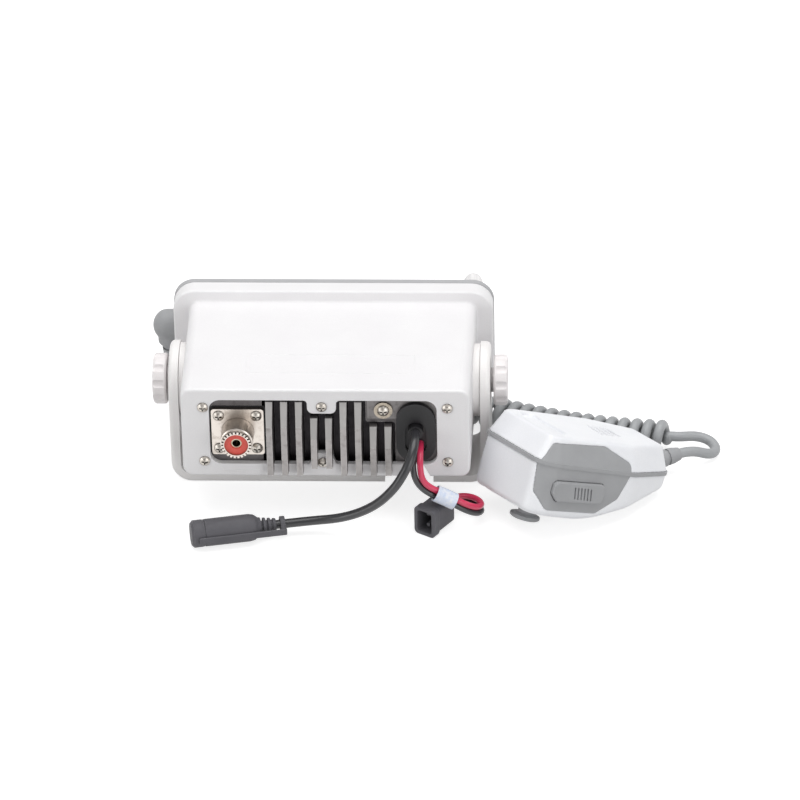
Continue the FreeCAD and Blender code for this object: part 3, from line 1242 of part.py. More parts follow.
# The cord leaves the tail level, whatever the pitch of the microphone
RELIEF_START = FreeCAD.Vector(0, num(MIC_TAIL), 0.4)
LEVEL_WAY = FreeCAD.Rotation(FreeCAD.Vector(0, 0, 1), num("sizes.mic_yaw")).multVec(FreeCAD.Vector(-1, 0, 0))
RELIEF_TURN = FreeCAD.Rotation(FreeCAD.Vector(0, -1, 0), MIC_TURN.inverted().multVec(LEVEL_WAY))
RELIEF_TIP = mic_point(*RELIEF_START) + LEVEL_WAY * num("sizes.mic_relief_length")


# Across, along and the seat of each screw's head
MIC_SCREWS = [("-14.5", "35.6", "-20"), ("14.5", "35.6", "-20"), ("0", "-33", "-8")]


def is_rim(edge):
    """Whether an edge of the back shell runs along the outline where the belly faces meet the flank."""
    middle = edge.valueAt((edge.FirstParameter + edge.LastParameter) / 2)
    heading = edge.tangentAt((edge.FirstParameter + edge.LastParameter) / 2)
    return edge.BoundBox.ZMax < -5 and abs(heading.z) < 0.7 and not (
        abs(heading.x) > 0.99 and abs(middle.x) < 1 and middle.y > num(MIC_TAIL) + 1 and middle.y < num(MIC_TOP) - 1)


def build_mic():
    """The hand microphone: two shells, a seal band, rubber grips, the talk key, hanger and inner parts."""
    half_seal = "sizes.mic_seal_thick / 2"
    front = doc.addObject("PartDesign::Body", "mic_front_blank")
    pad(front, "XY", half_seal, "sizes.mic_front_depth", [mic_outline()], taper="24")
    crest = num("sizes.mic_front_depth")
    soften(front, "2.4", lambda e: near(e.BoundBox.ZMin, crest) and near(e.BoundBox.ZMax, crest))
    trough = box_corners("0", MIC_TOP + " - 14.5", "34", "8.4")
    pocket(front, "XY", "sizes.mic_front_depth - 1.4", "sizes.mic_front_depth + 1", [(trough, "4")])
    slots = [(box_corners("0", "-6 - %d * 3.4" % k, "15", "1.3"), "0.6") for k in range(4)]
    pocket(front, "XY", "sizes.mic_front_depth - 4", "sizes.mic_front_depth + 1", slots)
    pocket(front, "XY", half_seal + " - 1", "sizes.mic_front_depth - sizes.mic_wall - 1",
           [mic_outline("sizes.mic_wall + 5", "1.6")])
    back = doc.addObject("PartDesign::Body", "mic_back_blank")
    pad(back, "XY", "-sizes.mic_back_depth", "-(%s)" % half_seal, [mic_outline("0")])
    belly = [("-60", "-sizes.mic_back_depth - 5"), ("60", "-sizes.mic_back_depth - 5"),
             ("60", "-sizes.mic_back_depth + 0.2"), ("6", "-sizes.mic_back_depth + 0.2"),
             (MIC_TAIL, "-sizes.mic_tail_depth"), ("-60", "-sizes.mic_tail_depth + (60 + %s) * 0.36" % MIC_TAIL)]
    pocket(back, "YZ", "-40", "40", [(belly, [None, None, None, "60", None, None])])
    soften(back, "3.2", lambda e: is_rim(e))
    pocket(back, "XY", "-4.6", "0", [mic_outline("sizes.mic_wall + sizes.grip_depth")])
    pocket(back, "XY", "-19", "0", [(box_corners("0", "17", "40", "30"), "4")])
    for x, y, head in MIC_SCREWS:
        pocket(back, "XY", "-12", "0", [(x, y, "1.5")]) if y == "-33" else pocket(back, "XY", "-27", "0", [(x, y, "1.5")])
        pocket(back, "XY", "-27", head, [(x, y, "2.8")])
    profiles = {"front": [("-13", half_seal), ("38", half_seal), ("33", "9.6"), ("3", "11"), ("-13", "4.6")],
                "back": [("-13", "-(%s)" % half_seal), ("-9", "-13"), ("2", "-21.4"), ("31", "-22.6"), ("38", "-15"),
                         ("39", "-(%s)" % half_seal)]}
    grips = []
    for name, blank, label in (("front", front, "mic_front_shell"), ("back", back, "mic_back_shell")):
        region = doc.addObject("PartDesign::Body", "grip_region_" + name)
        rounds = [None, None] + ["3"] * (len(profiles[name]) - 2)
        if name == "back":
            rounds[-1] = None
            rounds[1] = "3"
        pad(region, "YZ", "-40", "40", [(profiles[name], rounds)])
        core = doc.addObject("PartDesign::Body", "grip_core_" + name)
        if name == "front":
            pad(core, "XY", half_seal, "sizes.mic_front_depth", [mic_outline("sizes.grip_depth")], taper="24")
        else:
            pad(core, "XY", "-60", "-(%s)" % half_seal, [mic_outline("sizes.grip_depth")])
        flanks = cut("grip_flanks_" + name, region, core)
        grips.append(common("grip_" + name, blank, flanks))
        shell = cut("shell_" + name, blank, flanks)
        if name == "back":
            shell = cut("shell_back_keyed", shell, key_way("shell"))
            boss = fuse("hang_boss_shell", [shell, make_rod("hang_pad", "Z", "6.4", ("0", "21.4", "-sizes.mic_back_depth - 0.8"), "3")])
            shell = boss
        mic_place(keep(shell, label))
    grips[1] = cut("grip_back_keyed", grips[1], key_way("grip"))
    mic_place(group("mic_grip", grips))
    body = new_body("mic_seal_band")
    pad(body, "XY", "-(%s)" % half_seal, half_seal, [mic_outline("-sizes.mic_seal_proud"), mic_outline("sizes.mic_wall + 5", "1.6")])
    mic_place(body)
    body = new_body("ptt_button")
    key = [("0.5", "-6.4"), ("0.5", "-16.2"), ("27", "-17.6"), ("30.5", "-14"), ("30.5", "-7.6")]
    pad(body, "YZ", "-(sizes.mic_width / 2 + sizes.ptt_proud)", "-(sizes.mic_width / 2 - 5)", [(key, "2.6")])
    outer = -num("sizes.mic_width / 2 + sizes.ptt_proud")
    soften(body, "0.9", lambda e: near(e.BoundBox.XMin, outer) and near(e.BoundBox.XMax, outer))
    for k in range(6):
        at = "%.1f" % (7.4 + k * 1.9)
        rib = [("%s" % at, "-15.2"), ("%s + 0.9" % at, "-15.2"), ("%s + 2.1" % at, "-9.2"), ("%s + 1.2" % at, "-9.2")]
        pocket(body, "YZ", "-(sizes.mic_width / 2 + sizes.ptt_proud) - 1", "-(sizes.mic_width / 2 + sizes.ptt_proud) + 0.7",
               [(rib, "0.3")])
    mic_place(body)
    hang = new_body("hang_button")
    floor = "-sizes.mic_back_depth - 0.8"
    turn(hang, "Z", [(floor, "0"), (floor, "sizes.hang_neck / 2"), (floor + " - 5", "sizes.hang_neck / 2"),
                     (floor + " - 5.8", "sizes.hang_button / 2"), (floor + " - 7.2", "sizes.hang_button / 2"),
                     (floor + " - sizes.hang_reach + 0.6", "sizes.hang_button / 2 - 1.2"), (floor + " - sizes.hang_reach + 0.6", "0")])
    hang.Placement = FreeCAD.Placement(FreeCAD.Vector(), MIC_TURN)
    spot = mic_point(0, 21.4, 0)
    hang.Placement = FreeCAD.Placement(spot, MIC_TURN)
    relief = doc.addObject("PartDesign::Body", "relief_turned")
    profile = [("1.5", "0"), ("1.5", "4.5"), ("-4", "4.7")]
    for rib in range(2):
        step = "-4 - %.1f" % (rib * 4.2)
        profile += [(step, "3.5"), (step + " - 1.5", "3.5"), (step + " - 1.5", "4.6 - %.1f" % (rib * 0.4)),
                    (step + " - 4.2", "4.4 - %.1f" % (rib * 0.4))]
    end = "-sizes.mic_relief_length"
    turn(relief, "Y", profile + [(end, "3.2"), (end, "0")])
    relief.Placement = FreeCAD.Placement(RELIEF_START, RELIEF_TURN)
    room = doc.addObject("PartDesign::Body", "relief_room")
    pad(room, "XY", "-9", "9", [mic_outline("-sizes.mic_seal_proud")])
    trimmed = cut("relief_trimmed", relief, room)
    mic_place(keep(trimmed, "mic_strain_relief"))
    mic_place(group("mic_board", [make_box("mic_board_sheet", ("-17", "-30", "-4.6"), ("17", "33.5", "-3"))]))
    mic_place(group("mic_element", [make_rod("mic_capsule", "Z", "4.8", ("0", "-11", "-3"), "6")]))
    screws = []
    for k, (x, y, head) in enumerate(MIC_SCREWS):
        stem = make_rod("mic_screw_stem_%d" % k, "Z", "1.3", (x, y, head + " - 1"), "-(%s) - 2" % head)
        cap = make_rod("mic_screw_cap_%d" % k, "Z", "2.6", (x, y, head + " - 1.8"), "1.8")
        screws.append(fuse("mic_screw_%d" % k, [stem, cap]))
    mic_place(group("mic_screws", screws))


def key_way(name):
    """The hole in the flank that the talk key slides in."""
    body = doc.addObject("PartDesign::Body", "key_way_" + name)
    gap = "sizes.ptt_gap"
    way = [("0.5 - " + gap, "-6.4 + " + gap), ("0.5 - " + gap, "-16.2 - " + gap), ("27 + " + gap, "-17.6 - " + gap),
           ("30.5 + " + gap, "-14"), ("30.5 + " + gap, "-7.6 + " + gap)]
    pad(body, "YZ", "-40", "-(sizes.mic_width / 2 - 5 - sizes.ptt_travel - 0.6)", [(way, "2.6 + " + gap)])
    return body


build_bracket()
build_rear_case()
build_chassis()
build_trim_gasket()
build_bezel()
build_front_parts()
build_keys()
build_knob("volume_knob", *KNOB_PLACES[0], "sizes.small_knob", "sizes.small_knob_length", "12")
build_knob("squelch_knob", *KNOB_PLACES[1], "sizes.small_knob", "sizes.small_knob_length", "12")
build_knob("channel_knob", *KNOB_PLACES[2], "sizes.large_knob", "sizes.large_knob_length", "18")
build_inner_parts()
build_socket()
build_screws()
build_grommet()
build_tilt_parts()
build_side_knob("side_knob_left", 0)
build_side_knob("side_knob_right", 180)
build_boot()
build_cords()
build_plug()
build_connector()
build_mic()


def finish():
    """Check every object and write each piece to its own file."""
    doc.recompute()
    for obj in doc.Objects:
        if "Invalid" in obj.State or "Error" in obj.State:
            raise ValueError("%s did not build" % obj.Name)
    for piece in PIECES:
        shape = piece.Shape
        if shape.isNull() or not shape.isValid() or not shape.Solids:
            raise ValueError("%s is not a valid solid" % piece.Label)
        shape.exportStep("parts/%s.step" % piece.Label)
        box = shape.BoundBox
        print("%-20s %2d solids %9.1f mm3  x %7.1f %7.1f  y %7.1f %7.1f  z %6.1f %6.1f" % (
            piece.Label, len(shape.Solids), shape.Volume, box.XMin, box.XMax, box.YMin, box.YMax, box.ZMin, box.ZMax))


finish()
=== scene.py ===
"""The looks of a fixed-mount marine radio, seen from its finned rear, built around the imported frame."""

import logging
import math
from dataclasses import dataclass, field
from enum import Enum
from typing import Iterable, Sequence

import bmesh
import bpy
from mathutils import Matrix, Vector
from mathutils.bvhtree import BVHTree


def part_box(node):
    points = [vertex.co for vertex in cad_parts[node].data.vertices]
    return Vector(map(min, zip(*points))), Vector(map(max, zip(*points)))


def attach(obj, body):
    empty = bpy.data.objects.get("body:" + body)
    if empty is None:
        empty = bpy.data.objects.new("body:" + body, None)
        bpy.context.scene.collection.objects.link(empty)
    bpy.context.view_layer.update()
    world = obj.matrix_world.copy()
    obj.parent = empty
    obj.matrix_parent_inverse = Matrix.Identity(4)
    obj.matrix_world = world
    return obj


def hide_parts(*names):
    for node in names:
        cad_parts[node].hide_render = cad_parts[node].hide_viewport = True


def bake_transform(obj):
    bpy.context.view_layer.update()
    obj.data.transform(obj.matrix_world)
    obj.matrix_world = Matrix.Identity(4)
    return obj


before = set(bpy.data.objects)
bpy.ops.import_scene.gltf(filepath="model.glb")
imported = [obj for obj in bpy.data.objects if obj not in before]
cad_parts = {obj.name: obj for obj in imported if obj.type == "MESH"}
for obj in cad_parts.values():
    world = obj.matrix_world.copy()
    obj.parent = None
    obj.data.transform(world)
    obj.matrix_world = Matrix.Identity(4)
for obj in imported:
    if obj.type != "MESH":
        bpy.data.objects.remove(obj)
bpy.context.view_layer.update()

MM = 0.001
Point = tuple[float, float, float]
Colour = tuple[float, float, float]
MIX_SHARE, MIX_FIRST, MIX_SECOND, MIX_RESULT = 0, 6, 7, 2
COAT_ROUGHNESS = 0.12
GRAIN_STRENGTH = 0.6
STAIN_STRENGTH = 0.4
log = logging.getLogger("marine_radio")


def shade(red: int, green: int, blue: int) -> Colour:
    """The linear colour of a tone written from 0 to 255.

    Args:
        red: the red part.
        green: the green part.
        blue: the blue part.

    Returns:
        The three linear parts, from 0 to 1.
    """
    parts = [value / 255 for value in (red, green, blue)]
    return tuple(p / 12.92 if p <= 0.04045 else ((p + 0.055) / 1.055) ** 2.4 for p in parts)


def metres(points: Iterable[Sequence[float]]) -> list[Vector]:
    """Points written in millimetres, as vectors in metres."""
    return [Vector(point) * MM for point in points]


class Body(Enum):
    """The moving bodies that pieces ride on."""

    BRACKET = "bracket"
    RADIO = "radio"


class Socket(Enum):
    """The kinds of socket on a shader group."""

    FLOAT = "NodeSocketFloat"
    COLOUR = "NodeSocketColor"
    VECTOR = "NodeSocketVector"


# Shader groups
class Group:
    """A shader node group while it is being wired."""

    def __init__(self, name: str) -> None:
        """Start an empty group of that name."""
        self.tree = bpy.data.node_groups.new(name, "ShaderNodeTree")
        self.inlet = self.tree.nodes.new("NodeGroupInput")
        self.outlet = self.tree.nodes.new("NodeGroupOutput")

    def take(self, name: str, kind: Socket, value: object = None) -> None:
        """Add a named input with its usual value."""
        socket = self.tree.interface.new_socket(name, in_out="INPUT", socket_type=kind.value)
        if value is not None:
            socket.default_value = value

    def give(self, name: str, kind: Socket) -> None:
        """Add a named output."""
        self.tree.interface.new_socket(name, in_out="OUTPUT", socket_type=kind.value)

    def wire(self, source: object, target: object) -> None:
        """Link a socket to another."""
        self.tree.links.new(source, target)


class Wiring:
    """Adds and links nodes in a shader tree."""

    def __init__(self, tree: bpy.types.NodeTree) -> None:
        """Work in that tree."""
        self.tree = tree

    def node(self, kind: str, settings: dict | None = None, **inputs: object) -> bpy.types.Node:
        """Add a node.

        Args:
            kind: the node's type name.
            settings: attributes of the node.
            inputs: values or sockets for its inputs, with underscores for spaces.

        Returns:
            The new node.
        """
        made = self.tree.nodes.new(kind)
        for key, value in (settings or {}).items():
            setattr(made, key, value)
        for key, value in inputs.items():
            self.feed(made.inputs[key.replace("_", " ")], value)
        return made

    def feed(self, target: bpy.types.NodeSocket, value: object) -> None:
        """Link a socket to an input, or set its plain value."""
        if isinstance(value, bpy.types.NodeSocket):
            self.tree.links.new(value, target)
        else:
            target.default_value = value

    def maths(self, operation: str, first: object, second: object = 0.0) -> bpy.types.NodeSocket:
        """One sum on two numbers."""
        made = self.tree.nodes.new("ShaderNodeMath")
        made.operation = operation
        self.feed(made.inputs[0], first)
        self.feed(made.inputs[1], second)
        return made.outputs[0]

    def span(self, value: object, low: float, high: float, to_low: float = 0.0,
             to_high: float = 1.0) -> bpy.types.NodeSocket:
        """A number moved from one range to another, and held inside it."""
        made = self.tree.nodes.new("ShaderNodeMapRange")
        for index, item in enumerate((value, low, high, to_low, to_high)):
            self.feed(made.inputs[index], item)
        return made.outputs[0]

    def blend(self, share: object, first: object, second: object,
              kind: str = "MIX") -> bpy.types.NodeSocket:
        """Two colours mixed by a share."""
        made = self.tree.nodes.new("ShaderNodeMix")
        made.data_type = "RGBA"
        made.blend_type = kind
        self.feed(made.inputs[MIX_SHARE], share)
        self.feed(made.inputs[MIX_FIRST], first)
        self.feed(made.inputs[MIX_SECOND], second)
        return made.outputs[MIX_RESULT]

    def noise(self, place: object, scale: object, detail: float = 3.0,
              rough: float = 0.55) -> bpy.types.NodeSocket:
        """A noise value at a place."""
        made = self.tree.nodes.new("ShaderNodeTexNoise")
        self.feed(made.inputs["Vector"], place)
        self.feed(made.inputs["Scale"], scale)
        made.inputs["Detail"].default_value = detail
        made.inputs["Roughness"].default_value = rough
        return made.outputs["Fac"]


def grain_group() -> bpy.types.NodeTree:
    """The fine grain and faint patches of a moulded or painted skin.

    Returns:
        A group that puts out a colour, a roughness and a height.
    """
    group = Group("moulded_grain")
    for name, kind, value in (("Colour", Socket.COLOUR, (0.8, 0.8, 0.8, 1)),
                              ("Patch Colour", Socket.COLOUR, (0.7, 0.7, 0.7, 1)),
                              ("Grain Scale", Socket.FLOAT, 2500.0), ("Patch Scale", Socket.FLOAT, 30.0),
                              ("Patch Share", Socket.FLOAT, 0.5), ("Roughness", Socket.FLOAT, 0.5),
                              ("Roughness Spread", Socket.FLOAT, 0.08)):
        group.take(name, kind, value)
    for name, kind in (("Colour", Socket.COLOUR), ("Roughness", Socket.FLOAT), ("Height", Socket.FLOAT)):
        group.give(name, kind)
    make = Wiring(group.tree)
    inlet, outlet = group.inlet, group.outlet
    place = make.node("ShaderNodeTexCoord").outputs["Object"]
    fine = make.noise(place, inlet.outputs["Grain Scale"], 2.0, 0.6)
    coarse = make.noise(place, make.maths("MULTIPLY", inlet.outputs["Grain Scale"], 0.31), 2.0)
    patches = make.noise(place, inlet.outputs["Patch Scale"], 4.0, 0.6)
    share = make.maths("MULTIPLY", make.span(patches, 0.35, 0.7), inlet.outputs["Patch Share"])
    tinted = make.blend(share, inlet.outputs["Colour"], inlet.outputs["Patch Colour"])
    speck = make.span(fine, 0.25, 0.75, 0.97, 1.03)
    group.wire(make.blend(1.0, tinted, speck, "MULTIPLY"), outlet.inputs["Colour"])
    swing = make.maths("MULTIPLY", make.maths("SUBTRACT", patches, 0.5), inlet.outputs["Roughness Spread"])
    group.wire(make.maths("ADD", inlet.outputs["Roughness"], swing), outlet.inputs["Roughness"])
    group.wire(make.maths("ADD", fine, make.maths("MULTIPLY", coarse, 0.7)), outlet.inputs["Height"])
    return group.tree


def stain_group() -> bpy.types.NodeTree:
    """Blotches of tarnish and fine scratches on plated metal.

    Returns:
        A group that puts out a colour, a roughness and a height.
    """
    group = Group("plating_stains")
    for name, kind, value in (("Colour", Socket.COLOUR, (0.8, 0.8, 0.8, 1)),
                              ("Stain Colour", Socket.COLOUR, (0.3, 0.25, 0.2, 1)),
                              ("Stain Scale", Socket.FLOAT, 260.0), ("Stain Share", Socket.FLOAT, 0.5),
                              ("Roughness", Socket.FLOAT, 0.25)):
        group.take(name, kind, value)
    for name, kind in (("Colour", Socket.COLOUR), ("Roughness", Socket.FLOAT), ("Height", Socket.FLOAT)):
        group.give(name, kind)
    make = Wiring(group.tree)
    inlet, outlet = group.inlet, group.outlet
    place = make.node("ShaderNodeTexCoord").outputs["Object"]
    blots = make.noise(place, inlet.outputs["Stain Scale"], 5.0, 0.65)
    mask = make.maths("MULTIPLY", make.span(blots, 0.5, 0.72), inlet.outputs["Stain Share"])
    group.wire(make.blend(mask, inlet.outputs["Colour"], inlet.outputs["Stain Colour"]),
               outlet.inputs["Colour"])
    group.wire(make.maths("ADD", inlet.outputs["Roughness"], make.maths("MULTIPLY", mask, 0.3)),
               outlet.inputs["Roughness"])
    group.wire(make.noise(place, 1400.0, 3.0), outlet.inputs["Height"])
    return group.tree


def edge_highlight_group() -> bpy.types.NodeTree:
    """Where a surface turns a corner, a painted highlight: the edge is made brighter than the rest.

    Returns:
        A group that puts out a mask from 0 to 1.
    """
    group = Group("painted_edge_highlights")
    group.take("Width", Socket.FLOAT, 0.0005)
    group.take("Break Up", Socket.FLOAT, 900.0)
    group.give("Mask", Socket.FLOAT)
    make = Wiring(group.tree)
    rounded = make.node("ShaderNodeBevel", {"samples": 6})
    make.feed(rounded.inputs["Radius"], group.inlet.outputs["Width"])
    shape = make.node("ShaderNodeNewGeometry")
    dot = make.node("ShaderNodeVectorMath", {"operation": "DOT_PRODUCT"})
    make.feed(dot.inputs[0], rounded.outputs["Normal"])
    make.feed(dot.inputs[1], shape.outputs["Normal"])
    turned = make.span(make.maths("SUBTRACT", 1.0, dot.outputs["Value"]), 0.01, 0.12)
    place = make.node("ShaderNodeTexCoord").outputs["Object"]
    broken = make.span(make.noise(place, group.inlet.outputs["Break Up"], 3.0), 0.3, 0.6)
    group.wire(make.maths("MULTIPLY", turned, broken), group.outlet.inputs["Mask"])
    return group.tree


class Groups:
    """The shared shader groups, each built once."""

    grain: bpy.types.NodeTree = grain_group()
    stains: bpy.types.NodeTree = stain_group()
    # painted highlight mask along turned edges
    edges: bpy.types.NodeTree = edge_highlight_group()


# Finishes
@dataclass(frozen=True)
class Finish:
    """A moulded, painted or rubber skin with a fine grain.

    Grain and patches are sizes in millimetres; depth is the height of the grain in millimetres.
    """

    name: str
    colour: Colour
    patch_colour: Colour
    roughness: float = 0.5
    spread: float = 0.08
    grain: float = 0.4
    depth: float = 0.02
    patches: float = 30.0
    patch_share: float = 0.5
    coat: float = 0.0
    sheen: float = 0.0
    # lighter colour of a painted highlight along turned edges, and the width of that band
    edge_highlight_colour: Colour | None = None
    edge_width: float = 0.5
    specular: float = 0.5

    def build(self) -> bpy.types.Material:
        """The finish as a material, made the first time that it is asked for."""
        known = bpy.data.materials.get(self.name)
        if known:
            return known
        material = bpy.data.materials.new(self.name)
        material.use_nodes = True
        self.wire(Wiring(material.node_tree), material.node_tree.nodes["Principled BSDF"])
        material.diffuse_color = (*self.colour, 1)
        return material

    def wire(self, make: Wiring, skin: bpy.types.Node) -> None:
        """Wire the skin's colour, roughness and grain.

        Args:
            make: adds nodes to the material.
            skin: the material's own shader.
        """
        grain = make.node("ShaderNodeGroup", {"node_tree": Groups.grain}, Colour=(*self.colour, 1),
                          Patch_Colour=(*self.patch_colour, 1), Grain_Scale=1000 / self.grain,
                          Patch_Scale=1000 / self.patches, Patch_Share=self.patch_share,
                          Roughness=self.roughness, Roughness_Spread=self.spread)
        colour = grain.outputs["Colour"]
        # painted highlight: turned edges are blended toward the lighter edge colour
        if self.edge_highlight_colour:
            edge = make.node("ShaderNodeGroup", {"node_tree": Groups.edges}, Width=self.edge_width * MM)
            colour = make.blend(edge.outputs["Mask"], colour, (*self.edge_highlight_colour, 1))
        make.feed(skin.inputs["Base Color"], colour)
        make.feed(skin.inputs["Roughness"], grain.outputs["Roughness"])
        bump = make.node("ShaderNodeBump", Strength=GRAIN_STRENGTH, Distance=self.depth * MM)
        make.feed(bump.inputs["Height"], grain.outputs["Height"])
        make.feed(skin.inputs["Normal"], bump.outputs["Normal"])
        skin.inputs["Coat Weight"].default_value = self.coat
        skin.inputs["Coat Roughness"].default_value = COAT_ROUGHNESS
        skin.inputs["Sheen Weight"].default_value = self.sheen
        skin.inputs["Specular IOR Level"].default_value = self.specular


@dataclass(frozen=True)
class Plating:
    """Bare or plated metal with stains, with painted shade on its sides and in its slots.

    The stains' size and the reach of the slots are in millimetres, and so is the depth of the scratches.
    """

    name: str
    colour: Colour
    stain: Colour
    roughness: float = 0.25
    stain_size: float = 4.0
    stain_share: float = 0.5
    depth: float = 0.01
    # painted shade: faces turned away from +Y are blended toward this darker side colour
    side: Colour | None = None
    side_shade_share: float = 0.6
    facing_span: tuple[float, float] = (0.15, 0.8)
    # painted shade in slots and recesses, found by ambient occlusion
    slot_reach: float = 0.8
    slot_shade_share: float = 0.85
    slot_span: tuple[float, float] = (0.25, 0.8)
    slot_shade_colour: Colour = shade(52, 47, 44)
    slot_samples: int = 8

    def build(self) -> bpy.types.Material:
        """The finish as a material, made the first time that it is asked for."""
        known = bpy.data.materials.get(self.name)
        if known:
            return known
        material = bpy.data.materials.new(self.name)
        material.use_nodes = True
        make = Wiring(material.node_tree)
        skin = material.node_tree.nodes["Principled BSDF"]
        stains = make.node("ShaderNodeGroup", {"node_tree": Groups.stains}, Colour=(*self.colour, 1),
                           Stain_Colour=(*self.stain, 1), Stain_Scale=1000 / self.stain_size,
                           Stain_Share=self.stain_share, Roughness=self.roughness)
        colour = stains.outputs["Colour"]
        # painted shade on the sides, set by the surface's direction
        if self.side:
            facing = make.node("ShaderNodeSeparateXYZ")
            make.feed(facing.inputs[0], make.node("ShaderNodeTexCoord").outputs["Normal"])
            turned = make.span(facing.outputs["Y"], *self.facing_span, self.side_shade_share, 0.0)
            colour = make.blend(turned, colour, (*self.side, 1))
        # painted shade: ambient occlusion darkens the slots toward the darker slot colour
        hollow = make.node("ShaderNodeAmbientOcclusion",
                           {"samples": self.slot_samples, "only_local": True},
                           Distance=self.slot_reach * MM)
        slot_shade = make.span(hollow.outputs["AO"], *self.slot_span, self.slot_shade_share, 0.0)
        colour = make.blend(slot_shade, colour, (*self.slot_shade_colour, 1))
        make.feed(skin.inputs["Base Color"], colour)
        make.feed(skin.inputs["Roughness"], stains.outputs["Roughness"])
        bump = make.node("ShaderNodeBump", Strength=STAIN_STRENGTH, Distance=self.depth * MM)
        make.feed(bump.inputs["Height"], stains.outputs["Height"])
        make.feed(skin.inputs["Normal"], bump.outputs["Normal"])
        skin.inputs["Metallic"].default_value = 1.0
        material.diffuse_color = (*self.colour, 1)
        return material


@dataclass(frozen=True)
class CastMetal:
    """A bare casting: dull on its sides, machined lighter on what looks back with a painted highlight where
    that tilts upward, and painted shade deep between its fins.

    Sizes are in millimetres. A pair is where a change starts and where it is done.
    """

    name: str
    colour: Colour
    # lighter colour of the machined fin tips, which also carries their painted highlight
    milled_and_highlight: Colour
    # dark colour of the painted shade deep between the fins
    recess_shade: Colour
    stain: Colour = shade(118, 114, 110)
    roughness: float = 0.48
    stain_size: float = 1 / 0.33
    stain_share: float = 0.55
    milled_from: tuple[float, float] = (47.8, 48.6)
    # painted highlight: share of the lighter colour on back-facing tips, low where they stand upright, high
    # where they tilt upward
    upward_highlight_shares: tuple[float, float] = (0.1, 0.75)
    # painted shade: darker deeper toward the fin roots, a lighter share of it on the ground screw's ledge
    deep_until: tuple[float, float] = (46.2, 52.0)
    ledge_above: tuple[float, float] = (55.0, 56.0)
    ledge_past: tuple[float, float] = (-20.0, -21.0)
    ledge_share: float = 0.42
    socket_side: float = 28.8
    socket_share: float = 0.4
    edge_width: float = 0.45
    edge_break_up: float = 700.0
    metallic: float = 0.85

    def build(self) -> bpy.types.Material:
        """The finish as a material, made the first time that it is asked for."""
        known = bpy.data.materials.get(self.name)
        if known:
            return known
        material = bpy.data.materials.new(self.name)
        material.use_nodes = True
        make = Wiring(material.node_tree)
        skin = material.node_tree.nodes["Principled BSDF"]
        coordinates = make.node("ShaderNodeTexCoord")
        facing = make.node("ShaderNodeSeparateXYZ")
        make.feed(facing.inputs[0], coordinates.outputs["Normal"])
        place = make.node("ShaderNodeSeparateXYZ")
        make.feed(place.inputs[0], coordinates.outputs["Object"])
        dark = self.hollows(make, facing, place)
        bright = self.tips_and_highlights(make, facing, place, dark)
        stains = make.node("ShaderNodeGroup", {"node_tree": Groups.stains}, Colour=(*self.colour, 1),
                           Stain_Colour=(*self.stain, 1), Stain_Scale=1000 / self.stain_size,
                           Stain_Share=self.stain_share, Roughness=self.roughness)
        # painted shade between the fins, then the lighter machined colour with its painted highlight
        toned = make.blend(dark, stains.outputs["Colour"], (*self.recess_shade, 1))
        make.feed(skin.inputs["Base Color"], make.blend(bright, toned, (*self.milled_and_highlight, 1)))
        make.feed(skin.inputs["Roughness"],
                  make.maths("SUBTRACT", stains.outputs["Roughness"], make.maths("MULTIPLY", bright, 0.2)))
        bump = make.node("ShaderNodeBump", Strength=GRAIN_STRENGTH, Distance=0.05 * MM)
        make.feed(bump.inputs["Height"], stains.outputs["Height"])
        make.feed(skin.inputs["Normal"], bump.outputs["Normal"])
        skin.inputs["Metallic"].default_value = self.metallic
        material.diffuse_color = (*self.colour, 1)
        return material

    def along(self, make: Wiring, number: bpy.types.NodeSocket, limits: tuple[float, float],
              to_low: float = 0.0, to_high: float = 1.0) -> bpy.types.NodeSocket:
        """A change along one coordinate, between two places in millimetres."""
        return make.span(number, limits[0] * MM, limits[1] * MM, to_low, to_high)

    def hollows(self, make: Wiring, facing: bpy.types.Node, place: bpy.types.Node) -> bpy.types.NodeSocket:
        """How dark the casting is: painted shade deep between the fins, a lighter share of it on the ground
        screw's ledge, and darker past the socket's side.

        Args:
            make: adds nodes to the material.
            facing: the parts of the surface's direction.
            place: the parts of the surface's place.

        Returns:
            A share from 0 to 1.
        """
        # painted shade deep between the fins
        deep = self.along(make, place.outputs["Y"], self.deep_until, 1.0, 0.0)
        flat = make.span(facing.outputs["Y"], 0.6, 0.9)
        ledge = make.maths("MULTIPLY", flat, self.along(make, place.outputs["Z"], self.ledge_above))
        ledge = make.maths("MULTIPLY", ledge, self.along(make, place.outputs["X"], self.ledge_past))
        pocket = make.maths("GREATER_THAN", place.outputs["X"], self.socket_side * MM)
        dark = make.maths("MULTIPLY", make.maths("SUBTRACT", 1.0, ledge), deep)
        dark = make.maths("MAXIMUM", dark, make.maths("MULTIPLY", pocket, self.socket_share))
        return make.maths("MAXIMUM", dark, make.maths("MULTIPLY", ledge, self.ledge_share))

    def tips_and_highlights(self, make: Wiring, facing: bpy.types.Node, place: bpy.types.Node,
             dark: bpy.types.NodeSocket) -> bpy.types.NodeSocket:
        """How bright the fin tips and turned edges are: machined lighter, with a painted highlight where
        the tips tilt upward and along turned edges.

        Args:
            make: adds nodes to the material.
            facing: the parts of the surface's direction.
            place: the parts of the surface's place.
            dark: the share from hollows.

        Returns:
            A share from 0 to 1.
        """
        cut = make.maths("MULTIPLY", make.span(facing.outputs["Y"], 0.55, 0.9),
                         self.along(make, place.outputs["Y"], self.milled_from))
        # painted highlight: back-facing tips that tilt upward get more of the lighter colour
        upward = make.span(facing.outputs["Z"], 0.02, 0.08, *self.upward_highlight_shares)
